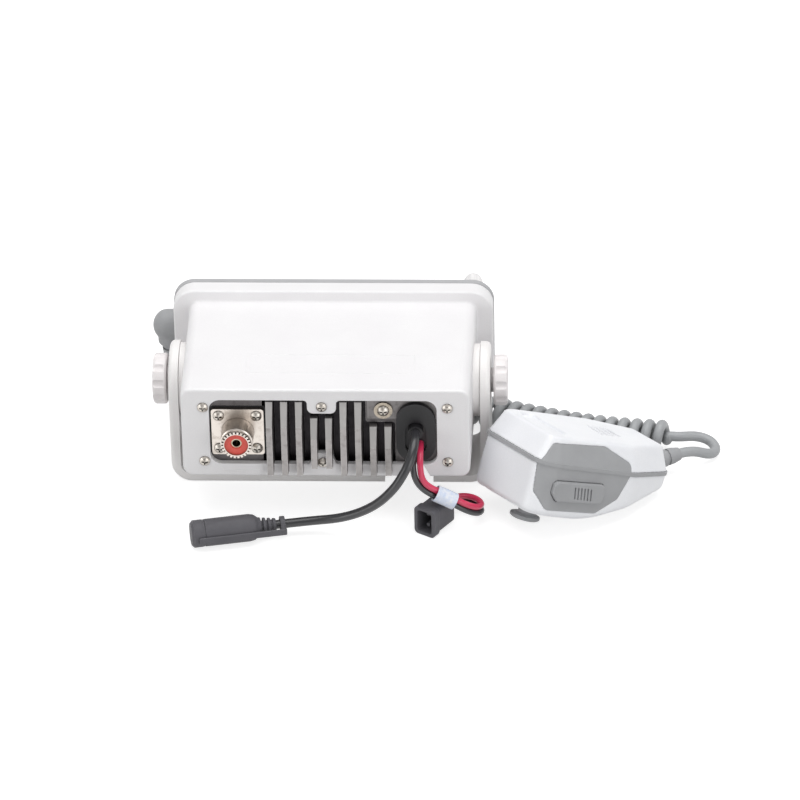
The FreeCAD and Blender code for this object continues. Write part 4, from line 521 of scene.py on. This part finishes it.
        # painted highlight along the casting's turned edges
        edge = make.node("ShaderNodeGroup", {"node_tree": Groups.edges}, Width=self.edge_width * MM,
                         Break_Up=self.edge_break_up)
        bright = make.maths("MAXIMUM", make.maths("MULTIPLY", cut, upward), edge.outputs["Mask"])
        kept = make.maths("SUBTRACT", 1.0, make.maths("MULTIPLY", dark, 0.9))
        return make.maths("MULTIPLY", bright, kept)


@dataclass(frozen=True)
class ClearPlastic:
    """A tinted, glossy display window."""

    name: str
    colour: Colour
    clear: float = 0.9
    bending: float = 1.49
    smear_scale: float = 90.0
    roughness: tuple[float, float] = (0.03, 0.14)

    def build(self) -> bpy.types.Material:
        """The finish as a material, made the first time that it is asked for."""
        known = bpy.data.materials.get(self.name)
        if known:
            return known
        material = bpy.data.materials.new(self.name)
        material.use_nodes = True
        make = Wiring(material.node_tree)
        skin = material.node_tree.nodes["Principled BSDF"]
        place = make.node("ShaderNodeTexCoord").outputs["Object"]
        smears = make.span(make.noise(place, self.smear_scale, 4.0), 0.4, 0.8, *self.roughness)
        make.feed(skin.inputs["Roughness"], smears)
        skin.inputs["Base Color"].default_value = (*self.colour, 1)
        skin.inputs["Transmission Weight"].default_value = self.clear
        skin.inputs["IOR"].default_value = self.bending
        material.diffuse_color = (*self.colour, 1)
        return material


CASTING = Finish("white_casting_paint", shade(239, 237, 236), shade(230, 227, 225), 0.42, 0.1, 0.5, 0.02,
                 40)
KNOB = Finish("white_side_knob", shade(233, 229, 229), shade(225, 220, 220), 0.36, 0.08, 0.6, 0.012, 30)
CASE = Finish("white_case_plastic", shade(234, 233, 234), shade(226, 224, 226), 0.5, 0.1, 0.38, 0.03, 35)
BEZEL = Finish("white_bezel_plastic", shade(235, 234, 234), shade(228, 226, 226), 0.4, 0.08, 0.5, 0.012, 40)
MIC_SHELL = Finish("mic_shell_plastic", shade(236, 237, 240), shade(226, 228, 233), 0.36, 0.1, 0.6, 0.008,
                   28)
RUBBER = Finish("grey_rubber_skin", shade(160, 161, 163), shade(148, 149, 151), 0.58, 0.1, 0.35, 0.02, 12,
                sheen=0.15)
GASKET = Finish("grey_gasket_rubber", shade(178, 178, 180), shade(164, 165, 167), 0.6, 0.1, 0.35, 0.02, 15)
CURLY = Finish("grey_curly_jacket", shade(163, 165, 167), shade(152, 154, 156), 0.42, 0.1, 0.6, 0.01, 9)
BLACK_JACKET = Finish("black_cable_jacket", shade(48, 48, 51), shade(38, 38, 41), 0.32, 0.1, 0.8, 0.01, 9,
                      coat=0.35)
RED_JACKET = Finish("red_lead_jacket", shade(214, 52, 92), shade(198, 38, 74), 0.3, 0.08, 0.8, 0.008, 8,
                    coat=0.35)
SLEEVE = Finish("white_shrink_sleeve", shade(230, 233, 240), shade(186, 202, 232), 0.4, 0.1, 0.7, 0.02, 2.2,
                0.8, 0.1)
# the edge colour here is a painted highlight along turned edges
DARK_RUBBER = Finish("dark_moulded_rubber", shade(86, 85, 90), shade(72, 71, 76), 0.62, 0.1, 0.3, 0.03, 10,
                     edge_highlight_colour=shade(116, 115, 120), edge_width=0.35, sheen=0.1)
# the edge colour here is a painted highlight along turned edges
GROMMET = Finish("black_grommet_rubber", shade(20, 19, 22), shade(14, 14, 16), 0.44, 0.12, 0.3, 0.02, 8,
                 edge_highlight_colour=shade(56, 56, 60), edge_width=0.35)
INNER = Finish("black_inner_plastic", shade(48, 48, 50), shade(38, 38, 40), 0.5, 0.1, 0.5, 0.02, 12)
KEYS = Finish("dark_key_rubber", shade(66, 68, 72), shade(56, 58, 62), 0.55, 0.1, 0.3, 0.015, 6)
BOARD = Finish("green_circuit_board", shade(36, 92, 58), shade(26, 74, 46), 0.4, 0.1, 0.9, 0.01, 5)
# the edge colour here is a painted highlight along turned edges
INSULATOR = Finish("red_socket_insulator", shade(222, 92, 80), shade(206, 74, 62), 0.4, 0.15, 0.3, 0.03, 3,
                   edge_highlight_colour=shade(228, 118, 100), edge_width=0.3)
# the side colours below are painted shade on faces turned away from the back
NICKEL = Plating("bright_nickel", shade(218, 210, 202), shade(140, 122, 104), 0.3, 3.4, 0.45,
                 side=shade(140, 130, 122), side_shade_share=0.6)
STEEL = Plating("screw_steel", shade(204, 198, 190), shade(122, 108, 94), 0.34, 1.8, 0.5,
                side=shade(70, 63, 58), side_shade_share=0.9)
BRASS = Plating("worn_brass", shade(190, 183, 162), shade(116, 104, 84), 0.36, 2.6, 0.6,
                side=shade(70, 62, 50), side_shade_share=0.85)
WASHER = Plating("stained_washer", shade(178, 168, 154), shade(92, 82, 72), 0.42, 1.5, 0.6,
                 side=shade(70, 62, 54), side_shade_share=0.85)
TIN = Plating("tin_plate", shade(196, 198, 200), shade(150, 150, 150), 0.34, 6.0, 0.4)
# cast aluminium: base colour, a lighter machined colour that also carries a painted highlight, and a dark
# colour for painted shade between the fins
ALUMINIUM = CastMetal("cast_aluminium_bare", shade(158, 154, 153), shade(206, 204, 202), shade(58, 55, 58))
WINDOW = ClearPlastic("smoked_window", shade(150, 160, 162))

FINISH_OF: dict[str, object] = {
    "mounting_bracket": CASTING, "tilt_discs": CASTING, "side_knob_left": KNOB,
    "side_knob_right": KNOB, "rear_case": CASE, "front_bezel": BEZEL, "volume_knob": BEZEL,
    "squelch_knob": BEZEL, "channel_knob": BEZEL, "trim_gasket": GASKET, "heatsink_chassis": ALUMINIUM,
    "antenna_socket": NICKEL, "antenna_insulator": INSULATOR, "antenna_contact": BRASS,
    "antenna_gasket": GROMMET, "antenna_screws": STEEL, "case_screws": STEEL, "ground_screw": STEEL,
    "ground_washer": WASHER, "tilt_inserts": BRASS, "cable_grommet": GROMMET, "display_window": WINDOW,
    "lcd_module": INNER, "front_board": BOARD, "key_membrane": KEYS, "speaker": INNER,
    "knob_potentiometers": INNER, "channel_encoder": INNER, "main_board": BOARD, "rf_shield": TIN,
    "power_module": INNER, "cord_strain_relief": RUBBER, "mic_grip": RUBBER, "mic_seal_band": RUBBER,
    "ptt_button": RUBBER, "mic_strain_relief": RUBBER, "mic_board": BOARD, "mic_element": TIN,
    "mic_screws": STEEL, "plug_cap": DARK_RUBBER, "key_1": KEYS, "key_2": KEYS, "key_3": KEYS,
    "key_4": KEYS, "key_5": KEYS, "key_6": KEYS,
}


# Mesh helpers
RELAX_SHARE = 0.5
CURVE_STEPS = 6
TUBE_STEPS = 6


def dress(piece: bpy.types.Object, finish: object) -> None:
    """Give a piece one finish on all its faces."""
    piece.data.materials.clear()
    piece.data.materials.append(finish.build())


def add_piece(name: str, mesh: bpy.types.Mesh, body: Body, finish: object) -> bpy.types.Object:
    """Put a finished mesh in the scene, riding on its body.

    Args:
        name: the piece's name.
        mesh: its mesh, in place, in metres.
        body: what it rides on.
        finish: its finish.

    Returns:
        The new object.
    """
    piece = bpy.data.objects.new(name, mesh)
    bpy.context.scene.collection.objects.link(piece)
    dress(piece, finish)
    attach(piece, body.value)
    return piece


def smooth(mesh: bpy.types.Mesh, angle: float = 35.0) -> None:
    """Shade a mesh smooth, apart from edges sharper than the angle in degrees."""
    mesh.shade_smooth()
    mesh.set_sharp_from_angle(angle=math.radians(angle))


def softened(node: str, voxel: float, passes: int) -> bpy.types.Mesh:
    """A copy of a node's mesh with its corners melted together, as moulded rubber has them.

    Args:
        node: the CAD node.
        voxel: the remesh size, in metres.
        passes: how many rounds of smoothing.

    Returns:
        The new mesh.
    """
    carrier = bpy.data.objects.new("carrier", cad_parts[node].data.copy())
    bpy.context.scene.collection.objects.link(carrier)
    remesh = carrier.modifiers.new("remesh", "REMESH")
    remesh.mode = "VOXEL"
    remesh.voxel_size = voxel
    relax = carrier.modifiers.new("relax", "SMOOTH")
    relax.iterations = passes
    relax.factor = RELAX_SHARE
    graph = bpy.context.evaluated_depsgraph_get()
    mesh = bpy.data.meshes.new_from_object(carrier.evaluated_get(graph))
    bpy.data.objects.remove(carrier)
    mesh.shade_smooth()
    return mesh


def spline_curve(name: str, points: Sequence[Vector]) -> bpy.types.Object:
    """A smooth open NURBS curve with those control points, in metres."""
    curve = bpy.data.curves.new(name, "CURVE")
    curve.dimensions = "3D"
    curve.resolution_u = CURVE_STEPS
    spline = curve.splines.new("NURBS")
    spline.points.add(len(points) - 1)
    for control, point in zip(spline.points, points):
        control.co = (*point, 1)
    spline.order_u = 3
    spline.use_endpoint_u = True
    return bpy.data.objects.new(name, curve)


def line_of(carrier: bpy.types.Object) -> list[Vector]:
    """The points that a curve runs through."""
    mesh = bpy.data.meshes.new_from_object(carrier)
    line = [vertex.co.copy() for vertex in mesh.vertices]
    bpy.data.meshes.remove(mesh)
    return line


def evenly(line: Sequence[Vector], count: int) -> list[Vector]:
    """Points spaced evenly along a line.

    Args:
        line: the line's own points.
        count: how many spaces.

    Returns:
        One point more than the spaces.
    """
    reach = [0.0]
    for here, ahead in zip(line, line[1:]):
        reach.append(reach[-1] + (ahead - here).length)
    spots = []
    index = 0
    for step in range(count + 1):
        goal = reach[-1] * step / count
        while index < len(line) - 2 and reach[index + 1] < goal:
            index += 1
        share = (goal - reach[index]) / max(reach[index + 1] - reach[index], 1e-12)
        spots.append(line[index].lerp(line[index + 1], share))
    return spots


@dataclass
class Cord:
    """A free cord, as a tube about its own smooth line.

    Its top and rest heights and its aside offset are held but not used by build. Lengths are in metres.
    """

    name: str
    controls: list[Vector]
    width: float
    finish: object
    slot: str
    nodes: tuple[str, ...]
    far_end: str
    ends: tuple[str, ...]
    top: float
    rest: float
    stiffness: str = "medium"
    lay: str = "loose"
    aside: float = 0.0

    def build(self) -> bpy.types.Object:
        """Returns:
            The tube.
        """
        carrier = spline_curve(self.name, self.controls)
        path = line_of(carrier)
        carrier.data.bevel_depth = self.width / 2
        carrier.data.bevel_resolution = TUBE_STEPS
        carrier.data.use_fill_caps = True
        mesh = bpy.data.meshes.new_from_object(carrier)
        bpy.data.objects.remove(carrier)
        smooth(mesh, 50)
        piece = bpy.data.objects.new(self.name, mesh)
        bpy.context.scene.collection.objects.link(piece)
        dress(piece, self.finish)
        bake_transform(piece)
        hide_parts(*self.nodes)
        return piece


@dataclass
class Cords:
    """The curly microphone cord, the accessory cable and the two power leads, in millimetres."""

    relief_tip: Point = (82.5, -51.2, 22.8)
    coil_turns: int = 26
    coil_radius: float = 5.7 * 1.012
    points_per_turn: int = 16
    open_end: float = 1.8
    run_in: float = 9.0
    run_out: float = 5.0
    drop_rest: float = 6.8
    drop_aside: float = 10.0
    wire: float = 5.0
    lead_width: float = 3.1
    cable_width: float = 4.5
    coil_axis: tuple[Point, ...] = ((-14, -65, 8.4), (-32, -56, 8.4), (-52, -46, 8.4),
                                    (-74, -36.5, 8.4), (-96, -28, 8.4), (-120, -20.2, 8.4),
                                    (-144, -14.8, 8.4), (-167, -13, 8.4))
    tail: tuple[Point, ...] = ((82.5, -51.2, 17.2), (82.4, -53.4, 12), (80.6, -57.8, 7.4), (76, -63.2, 4.2),
                               (68.5, -69.6, 2.8), (58, -75.4, 2.6), (45.5, -79.2, 2.7), (32, -80, 3),
                               (19, -77.6, 4), (7, -73.4, 5.8), (-1.6, -69.6, 8))
    lead: tuple[Point, ...] = ((-180.4, -15.6, 7.2), (-187.4, -13.8, 5.4), (-190.2, -7.8, 4),
                               (-187, -2.4, 4.2))
    cable: tuple[Point, ...] = ((-43.6, 54, 50.7), (-43.6, 61.2, 50.7), (-42.5, 67.4, 46.9),
                                (-39.4, 71.8, 40.4), (-33.4, 73.6, 30.6), (-23.6, 72, 19.8),
                                (-9, 67.4, 10.6))
    cable_rest: float = 8.0
    plug: Point = (24.3, 67.7, 6.75)
    plug_yaw: float = 12.7
    plug_run: float = 16.0
    lead_start: Point = (-44.2, 48.8, 42.1)
    lead_rest: float = 26.0
    lead_spread: float = 1.7
    lead_rise: float = 1.75
    connector: Point = (-57.4, 51.5, 7.75)
    connector_yaw: float = 57.0
    connector_run: float = 6.0
    mic_entry: tuple[Point, ...] = ((-177.2326, 1.4185, 9.3529), (-171.1401, 4.8654, 9.3529))

    def helix(self) -> tuple[list[Vector], Vector, Vector]:
        """The curls' points about the coil's axis, drawn in at both ends.

        Returns:
            The points, and the direction in which the cord enters and leaves them.
        """
        carrier = spline_curve("coil_axis", metres(self.coil_axis))
        steps = self.coil_turns * self.points_per_turn
        spots = evenly(line_of(carrier), steps)
        bpy.data.objects.remove(carrier)
        points = []
        for k, spot in enumerate(spots):
            ahead = spots[min(k + 1, steps)] - spots[max(k - 1, 0)]
            side = ahead.cross(Vector((0, 0, 1))).normalized()
            angle = 2 * math.pi * k / self.points_per_turn
            ends = min(k, (steps - k) * self.open_end) / self.points_per_turn
            size = self.coil_radius * MM * (1 - math.cos(min(1.0, ends) * math.pi)) / 2
            points.append(spot + side * (size * math.cos(angle)) + Vector((0, 0, size * math.sin(angle))))
        return points, (spots[1] - spots[0]).normalized(), (spots[-1] - spots[-2]).normalized()

    def mic_cord(self) -> Cord:
        """The whole microphone cord: drop, curls and lead into the microphone."""
        curls, way_in, way_out = self.helix()
        drop = metres((self.relief_tip,)) + metres(self.tail)
        joined = drop + [curls[0] - way_in * self.run_in * MM, *curls,
                         curls[-1] + way_out * self.run_out * MM]
        joined += metres(self.lead) + metres(self.mic_entry)
        return Cord("mic_cord", joined, self.wire * MM, CURLY, "grey_cord",
                    ("mic_cord_tail", "mic_cord_coil", "mic_cord_lead"), "tool",
                    ("mic_strain_relief",), self.relief_tip[2] * MM, self.drop_rest * MM, "medium",
                    "coiled", self.drop_aside * MM)

    def accessory_cable(self) -> Cord:
        """The black cable to the accessory plug."""
        yaw = math.radians(self.plug_yaw)
        way = Vector((math.cos(yaw), math.sin(yaw), 0))
        end = Vector(self.plug) * MM
        points = metres(self.cable) + [end - way * self.plug_run * MM, end]
        return Cord("accessory_lead", points, self.cable_width * MM, BLACK_JACKET, "black_cable",
                    ("accessory_cable",), "plug", ("soft_accessory_plug", "plug_cap", "soft_cap_strap"),
                    self.cable[0][2] * MM, self.cable_rest * MM)

    def power_lead(self, name: str, across: float, rise: float, finish: object, slot: str) -> Cord:
        """One of the two power leads.

        Args:
            name: the node that it replaces.
            across: its offset to one side, in millimetres.
            rise: its offset upward, in millimetres.
            finish: its jacket.
            slot: the record's slot of that jacket.

        Returns:
            The lead.
        """
        start = (self.lead_start[0] + across, *self.lead_start[1:])
        yaw = math.radians(self.connector_yaw)
        way = Vector((math.cos(yaw), math.sin(yaw), 0))
        rear = Vector(self.connector) * MM + Vector((0, 0, rise * MM))
        points = metres([start, (start[0], start[1] + 6.2, start[2]), (start[0], 61.4, 38.8),
                         (-44.5 + across, 63.8, 33.4), (-46.4 + across * 0.9, 64.2, 28.4 + rise * 0.3),
                         (-50.2 + across * 0.6, 63.6, 24.4 + rise * 0.7), (-55.4, 63.0, 21.4 + rise),
                         (-61.4, 62.9, 18.2 + rise), (-67.6, 62.2, 13.8 + rise), (-73.0, 59.2, 10.0 + rise),
                         (-75.6, 53.6, 8.2 + rise), (-73.2, 47.8, 7.75 + rise), (-67.4, 44.6, 7.75 + rise)])
        points += [rear - way * self.connector_run * MM, rear]
        return Cord(name.replace("power_lead", "supply_lead"), points, self.lead_width * MM, finish, slot,
                    (name,), "connector", ("soft_power_connector",), start[2] * MM, self.lead_rest * MM)

    def build(self) -> None:
        """Make all four cords."""
        self.mic_cord().build()
        self.accessory_cable().build()
        self.power_lead("power_lead_red", -self.lead_spread, self.lead_rise, RED_JACKET,
                        "red_cable").build()
        self.power_lead("power_lead_black", self.lead_spread, -self.lead_rise, BLACK_JACKET,
                        "black_cable").build()


@dataclass
class NamePlates:
    """Two bare raised frames on the case, where such a set carries its plates."""

    width: float = 0.4
    height: float = 0.14
    samples: int = 24
    cast_from: float = 5.0
    profile: tuple[tuple[float, float], ...] = ((0.5, -0.1), (0.35, 1.0), (-0.35, 1.0), (-0.5, -0.1))

    def reach(self, away: Vector, outward: Vector) -> Vector:
        """The way out of the frame, diagonal at its corners, along the case."""
        away = away - outward * away.dot(outward)
        return Vector([math.copysign(1.0, part) if abs(part) > 1e-6 else 0.0 for part in away])

    def ring(self, name: str, corners: Sequence[Point], outward: Vector) -> bpy.types.Object:
        """A thin raised border that lies on the case.

        Args:
            name: the piece's name.
            corners: its four corners near the case, in millimetres.
            outward: the direction away from the case.

        Returns:
            The new piece.
        """
        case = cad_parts["rear_case"].data
        tree = BVHTree.FromPolygons([vertex.co for vertex in case.vertices],
                                    [tuple(face.vertices) for face in case.polygons])
        middle = sum(metres(corners), Vector()) / 4
        form = bmesh.new()
        rows = []
        spots = metres(corners)
        for index in range(4):
            for step in range(self.samples):
                spot = spots[index].lerp(spots[(index + 1) % 4], step / self.samples)
                row = []
                reach = self.reach(spot - middle, outward)
                sideways = (spots[index] - spots[(index + 1) % 4]).normalized()
                if step:
                    reach -= sideways * reach.dot(sideways)
                for side, lift in self.profile:
                    moved = spot + reach * (side * self.width * MM)
                    hit, _, _, _ = tree.ray_cast(moved + outward * self.cast_from * MM, -outward)
                    row.append(form.verts.new((hit or moved) + outward * (lift * self.height * MM)))
                rows.append(row)
        for row, ahead in zip(rows, rows[1:] + rows[:1]):
            for k in range(len(self.profile) - 1):
                form.faces.new((row[k], row[k + 1], ahead[k + 1], ahead[k]))
        bmesh.ops.recalc_face_normals(form, faces=form.faces)
        mesh = bpy.data.meshes.new(name)
        form.to_mesh(mesh)
        form.free()
        smooth(mesh, 40)
        return add_piece(name, mesh, Body.RADIO, CASE)

    def build(self) -> None:
        """Lay both borders."""
        top = ((38.9, 18.4, 75), (-42.5, 18.4, 75), (-42.5, 35.2, 75), (38.9, 35.2, 75))
        self.ring("top_plate_border", top, Vector((0, 0, 1)))
        rear = ((50.2, 53, 27.6), (32.4, 53, 27.6), (32.4, 53, 24.4), (50.2, 53, 24.4))
        self.ring("rear_label_border", rear, Vector((0, 1, 0)))


@dataclass
class CordBoot:
    """The soft boot that the microphone cord hangs from, fuller than its plain solid."""

    growth: float = 1.17
    side_growth: float = 1.06
    voxel: float = 0.5
    passes: int = 10

    def build(self) -> None:
        """Melt the boot's corners together and swell it."""
        mesh = softened("cord_boot", self.voxel * MM, self.passes)
        low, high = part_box("cord_boot")
        middle = Vector((low.x, (low.y + high.y) / 2, high.z - (high.y - low.y) / 2))
        grow = Matrix.Diagonal((self.side_growth, self.growth, self.growth, 1.0))
        mesh.transform(Matrix.Translation(middle) @ grow @ Matrix.Translation(-middle))
        boot = add_piece("soft_cord_boot", mesh, Body.RADIO, RUBBER)
        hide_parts("cord_boot")


@dataclass(frozen=True)
class SoftMoulding:
    """A moulded piece whose corners are melted together.

    Its node, its remesh size in millimetres and its rounds of smoothing come first.
    """

    node: str
    voxel: float
    passes: int
    body: Body
    finish: object
    slot: str

    def build(self) -> bpy.types.Object:
        """Replace the node by its softer twin, and give that back."""
        mesh = softened(self.node, self.voxel * MM, self.passes)
        piece = add_piece("soft_" + self.node, mesh, self.body, self.finish)
        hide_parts(self.node)
        log.info("%s: %d faces", piece.name, len(mesh.polygons))
        return piece


@dataclass
class SoftPieces:
    """The microphone's halves and the moulded rubber of the plugs."""

    mouldings: tuple[SoftMoulding, ...] = (
        SoftMoulding("mic_front_shell", 0.45, 6, Body.BRACKET, MIC_SHELL, "mic_white_plastic"),
        SoftMoulding("mic_back_shell", 0.45, 6, Body.BRACKET, MIC_SHELL, "mic_white_plastic"),
        SoftMoulding("power_connector", 0.25, 8, Body.BRACKET, DARK_RUBBER, "dark_rubber"),
        SoftMoulding("cap_strap", 0.25, 8, Body.BRACKET, DARK_RUBBER, "dark_rubber"),
        SoftMoulding("accessory_plug", 0.25, 5, Body.BRACKET, DARK_RUBBER, "dark_rubber"),
        SoftMoulding("lead_sleeve", 0.22, 6, Body.BRACKET, SLEEVE, "white_sleeve"),
        SoftMoulding("hang_button", 0.3, 4, Body.BRACKET, RUBBER, "grey_rubber"),
    )

    def build(self) -> None:
        """Replace each node by its softer twin."""
        for moulding in self.mouldings:
            moulding.build()


@dataclass
class Carried:
    """The CAD nodes that keep their own shape, with the finish of each."""

    finish_of: dict[str, object] = field(default_factory=FINISH_OF.copy)

    def build(self) -> None:
        """Dress each node."""
        for node, finish in self.finish_of.items():
            dress(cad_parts[node], finish)
            log.info("%s: %s", node, finish.name)


@dataclass(frozen=True)
class Lamp:
    """A square lamp: its place and size in metres and its power in watts."""

    name: str
    place: Point
    size: float
    power: float

    def build(self, aim: Point) -> None:
        """Hang the lamp and turn it to what it lights."""
        lamp = bpy.data.lights.new(self.name, "AREA")
        lamp.size = self.size
        lamp.energy = self.power
        carrier = bpy.data.objects.new(self.name, lamp)
        carrier.location = self.place
        way = Vector(aim) - Vector(self.place)
        carrier.rotation_euler = way.to_track_quat("-Z", "Y").to_euler()
        bpy.context.scene.collection.objects.link(carrier)


@dataclass
class Studio:
    """The pale floor, soft lamps and the camera behind the radio.

    The camera's angles are in degrees, its distance in metres and its target in millimetres.
    """

    elevation: float = 31.306
    turn: float = 2.802
    roll: float = -1.165
    distance: float = 2.5
    target: Point = (-36.359, 51.0, 67.636)
    pixels_per_mm: float = 2.08
    image_size: float = 800.0
    sensor: float = 36.0
    floor_size: float = 6.0
    floor_tone: float = 0.5
    floor_glow: float = 0.74
    room_light: float = 0.46
    aim: Point = (-0.03, 0, 0.04)
    lights: tuple[Lamp, ...] = (Lamp("overhead", (-0.1, -0.05, 1.5), 1.6, 18.6),
                                Lamp("camera_right", (-1.3, 1.6, 0.62), 1.1, 9.5),
                                Lamp("camera_left", (1.5, 1.1, 0.5), 0.9, 6.5))

    def floor(self) -> None:
        """A pale floor, lit a little by itself so that it looks white around the radio."""
        form = bmesh.new()
        bmesh.ops.create_grid(form, x_segments=1, y_segments=1, size=self.floor_size)
        mesh = bpy.data.meshes.new("floor")
        form.to_mesh(mesh)
        form.free()
        floor = bpy.data.objects.new("floor", mesh)
        bpy.context.scene.collection.objects.link(floor)
        material = bpy.data.materials.new("pale_floor")
        material.use_nodes = True
        make = Wiring(material.node_tree)
        skin = material.node_tree.nodes["Principled BSDF"]
        skin.inputs["Base Color"].default_value = (self.floor_tone, self.floor_tone, self.floor_tone, 1)
        skin.inputs["Roughness"].default_value = 0.9
        rays = make.node("ShaderNodeLightPath")
        seen = make.maths("MAXIMUM", rays.outputs["Is Camera Ray"], rays.outputs["Is Glossy Ray"])
        seen = make.maths("MAXIMUM", seen, rays.outputs["Is Transmission Ray"])
        skin.inputs["Emission Color"].default_value = (1, 1, 1, 1)
        make.feed(skin.inputs["Emission Strength"], make.maths("MULTIPLY", seen, self.floor_glow))
        floor.data.materials.append(material)

    def lamps(self) -> None:
        """A wide soft lamp overhead, a weaker one on each side of the camera and a pale world."""
        for light in self.lights:
            light.build(self.aim)
        world = bpy.data.worlds.new("pale_room")
        world.use_nodes = True
        make = Wiring(world.node_tree)
        room = world.node_tree.nodes["Background"]
        room.inputs["Color"].default_value = (1, 1, 1, 1)
        rays = make.node("ShaderNodeLightPath")
        strength = make.span(rays.outputs["Is Camera Ray"], 0, 1, self.room_light, 1.0)
        make.feed(room.inputs["Strength"], strength)
        bpy.context.scene.world = world

    def camera(self) -> None:
        """The camera, behind and above, on a long lens."""
        turn, rise = math.radians(self.turn), math.radians(self.elevation)
        back = Vector((-math.sin(turn) * math.cos(rise), math.cos(turn) * math.cos(rise),
                       math.sin(rise)))
        lens = bpy.data.cameras.new("camera")
        lens.sensor_width = self.sensor
        lens.lens = self.pixels_per_mm * self.distance / MM / self.image_size * lens.sensor_width
        lens.clip_start, lens.clip_end = 0.05, 50.0
        lens.dof.use_dof = False
        camera = bpy.data.objects.new("camera", lens)
        camera.location = Vector(self.target) * MM + back * self.distance
        right = Vector((-math.cos(turn), -math.sin(turn), 0))
        up = back.cross(right)
        roll = math.radians(self.roll)
        across = right * math.cos(roll) + up * math.sin(roll)
        above = up * math.cos(roll) - right * math.sin(roll)
        camera.rotation_mode = "QUATERNION"
        camera.rotation_quaternion = Matrix((across, above, back)).transposed().to_quaternion()
        bpy.context.scene.collection.objects.link(camera)
        bpy.context.scene.camera = camera

    def build(self) -> None:
        """Set up the whole studio."""
        bpy.context.scene.view_settings.view_transform = "Standard"
        self.floor()
        self.lamps()
        self.camera()


def main() -> None:
    """Build every sub-assembly in order and log each as done."""
    logging.basicConfig(level=logging.INFO, format="%(message)s")
    for part in (Studio(), Carried(), NamePlates(), CordBoot(), SoftPieces(), Cords()):
        part.build()
        log.info("%s done", type(part).__name__)


if __name__ == "__main__":
    main()
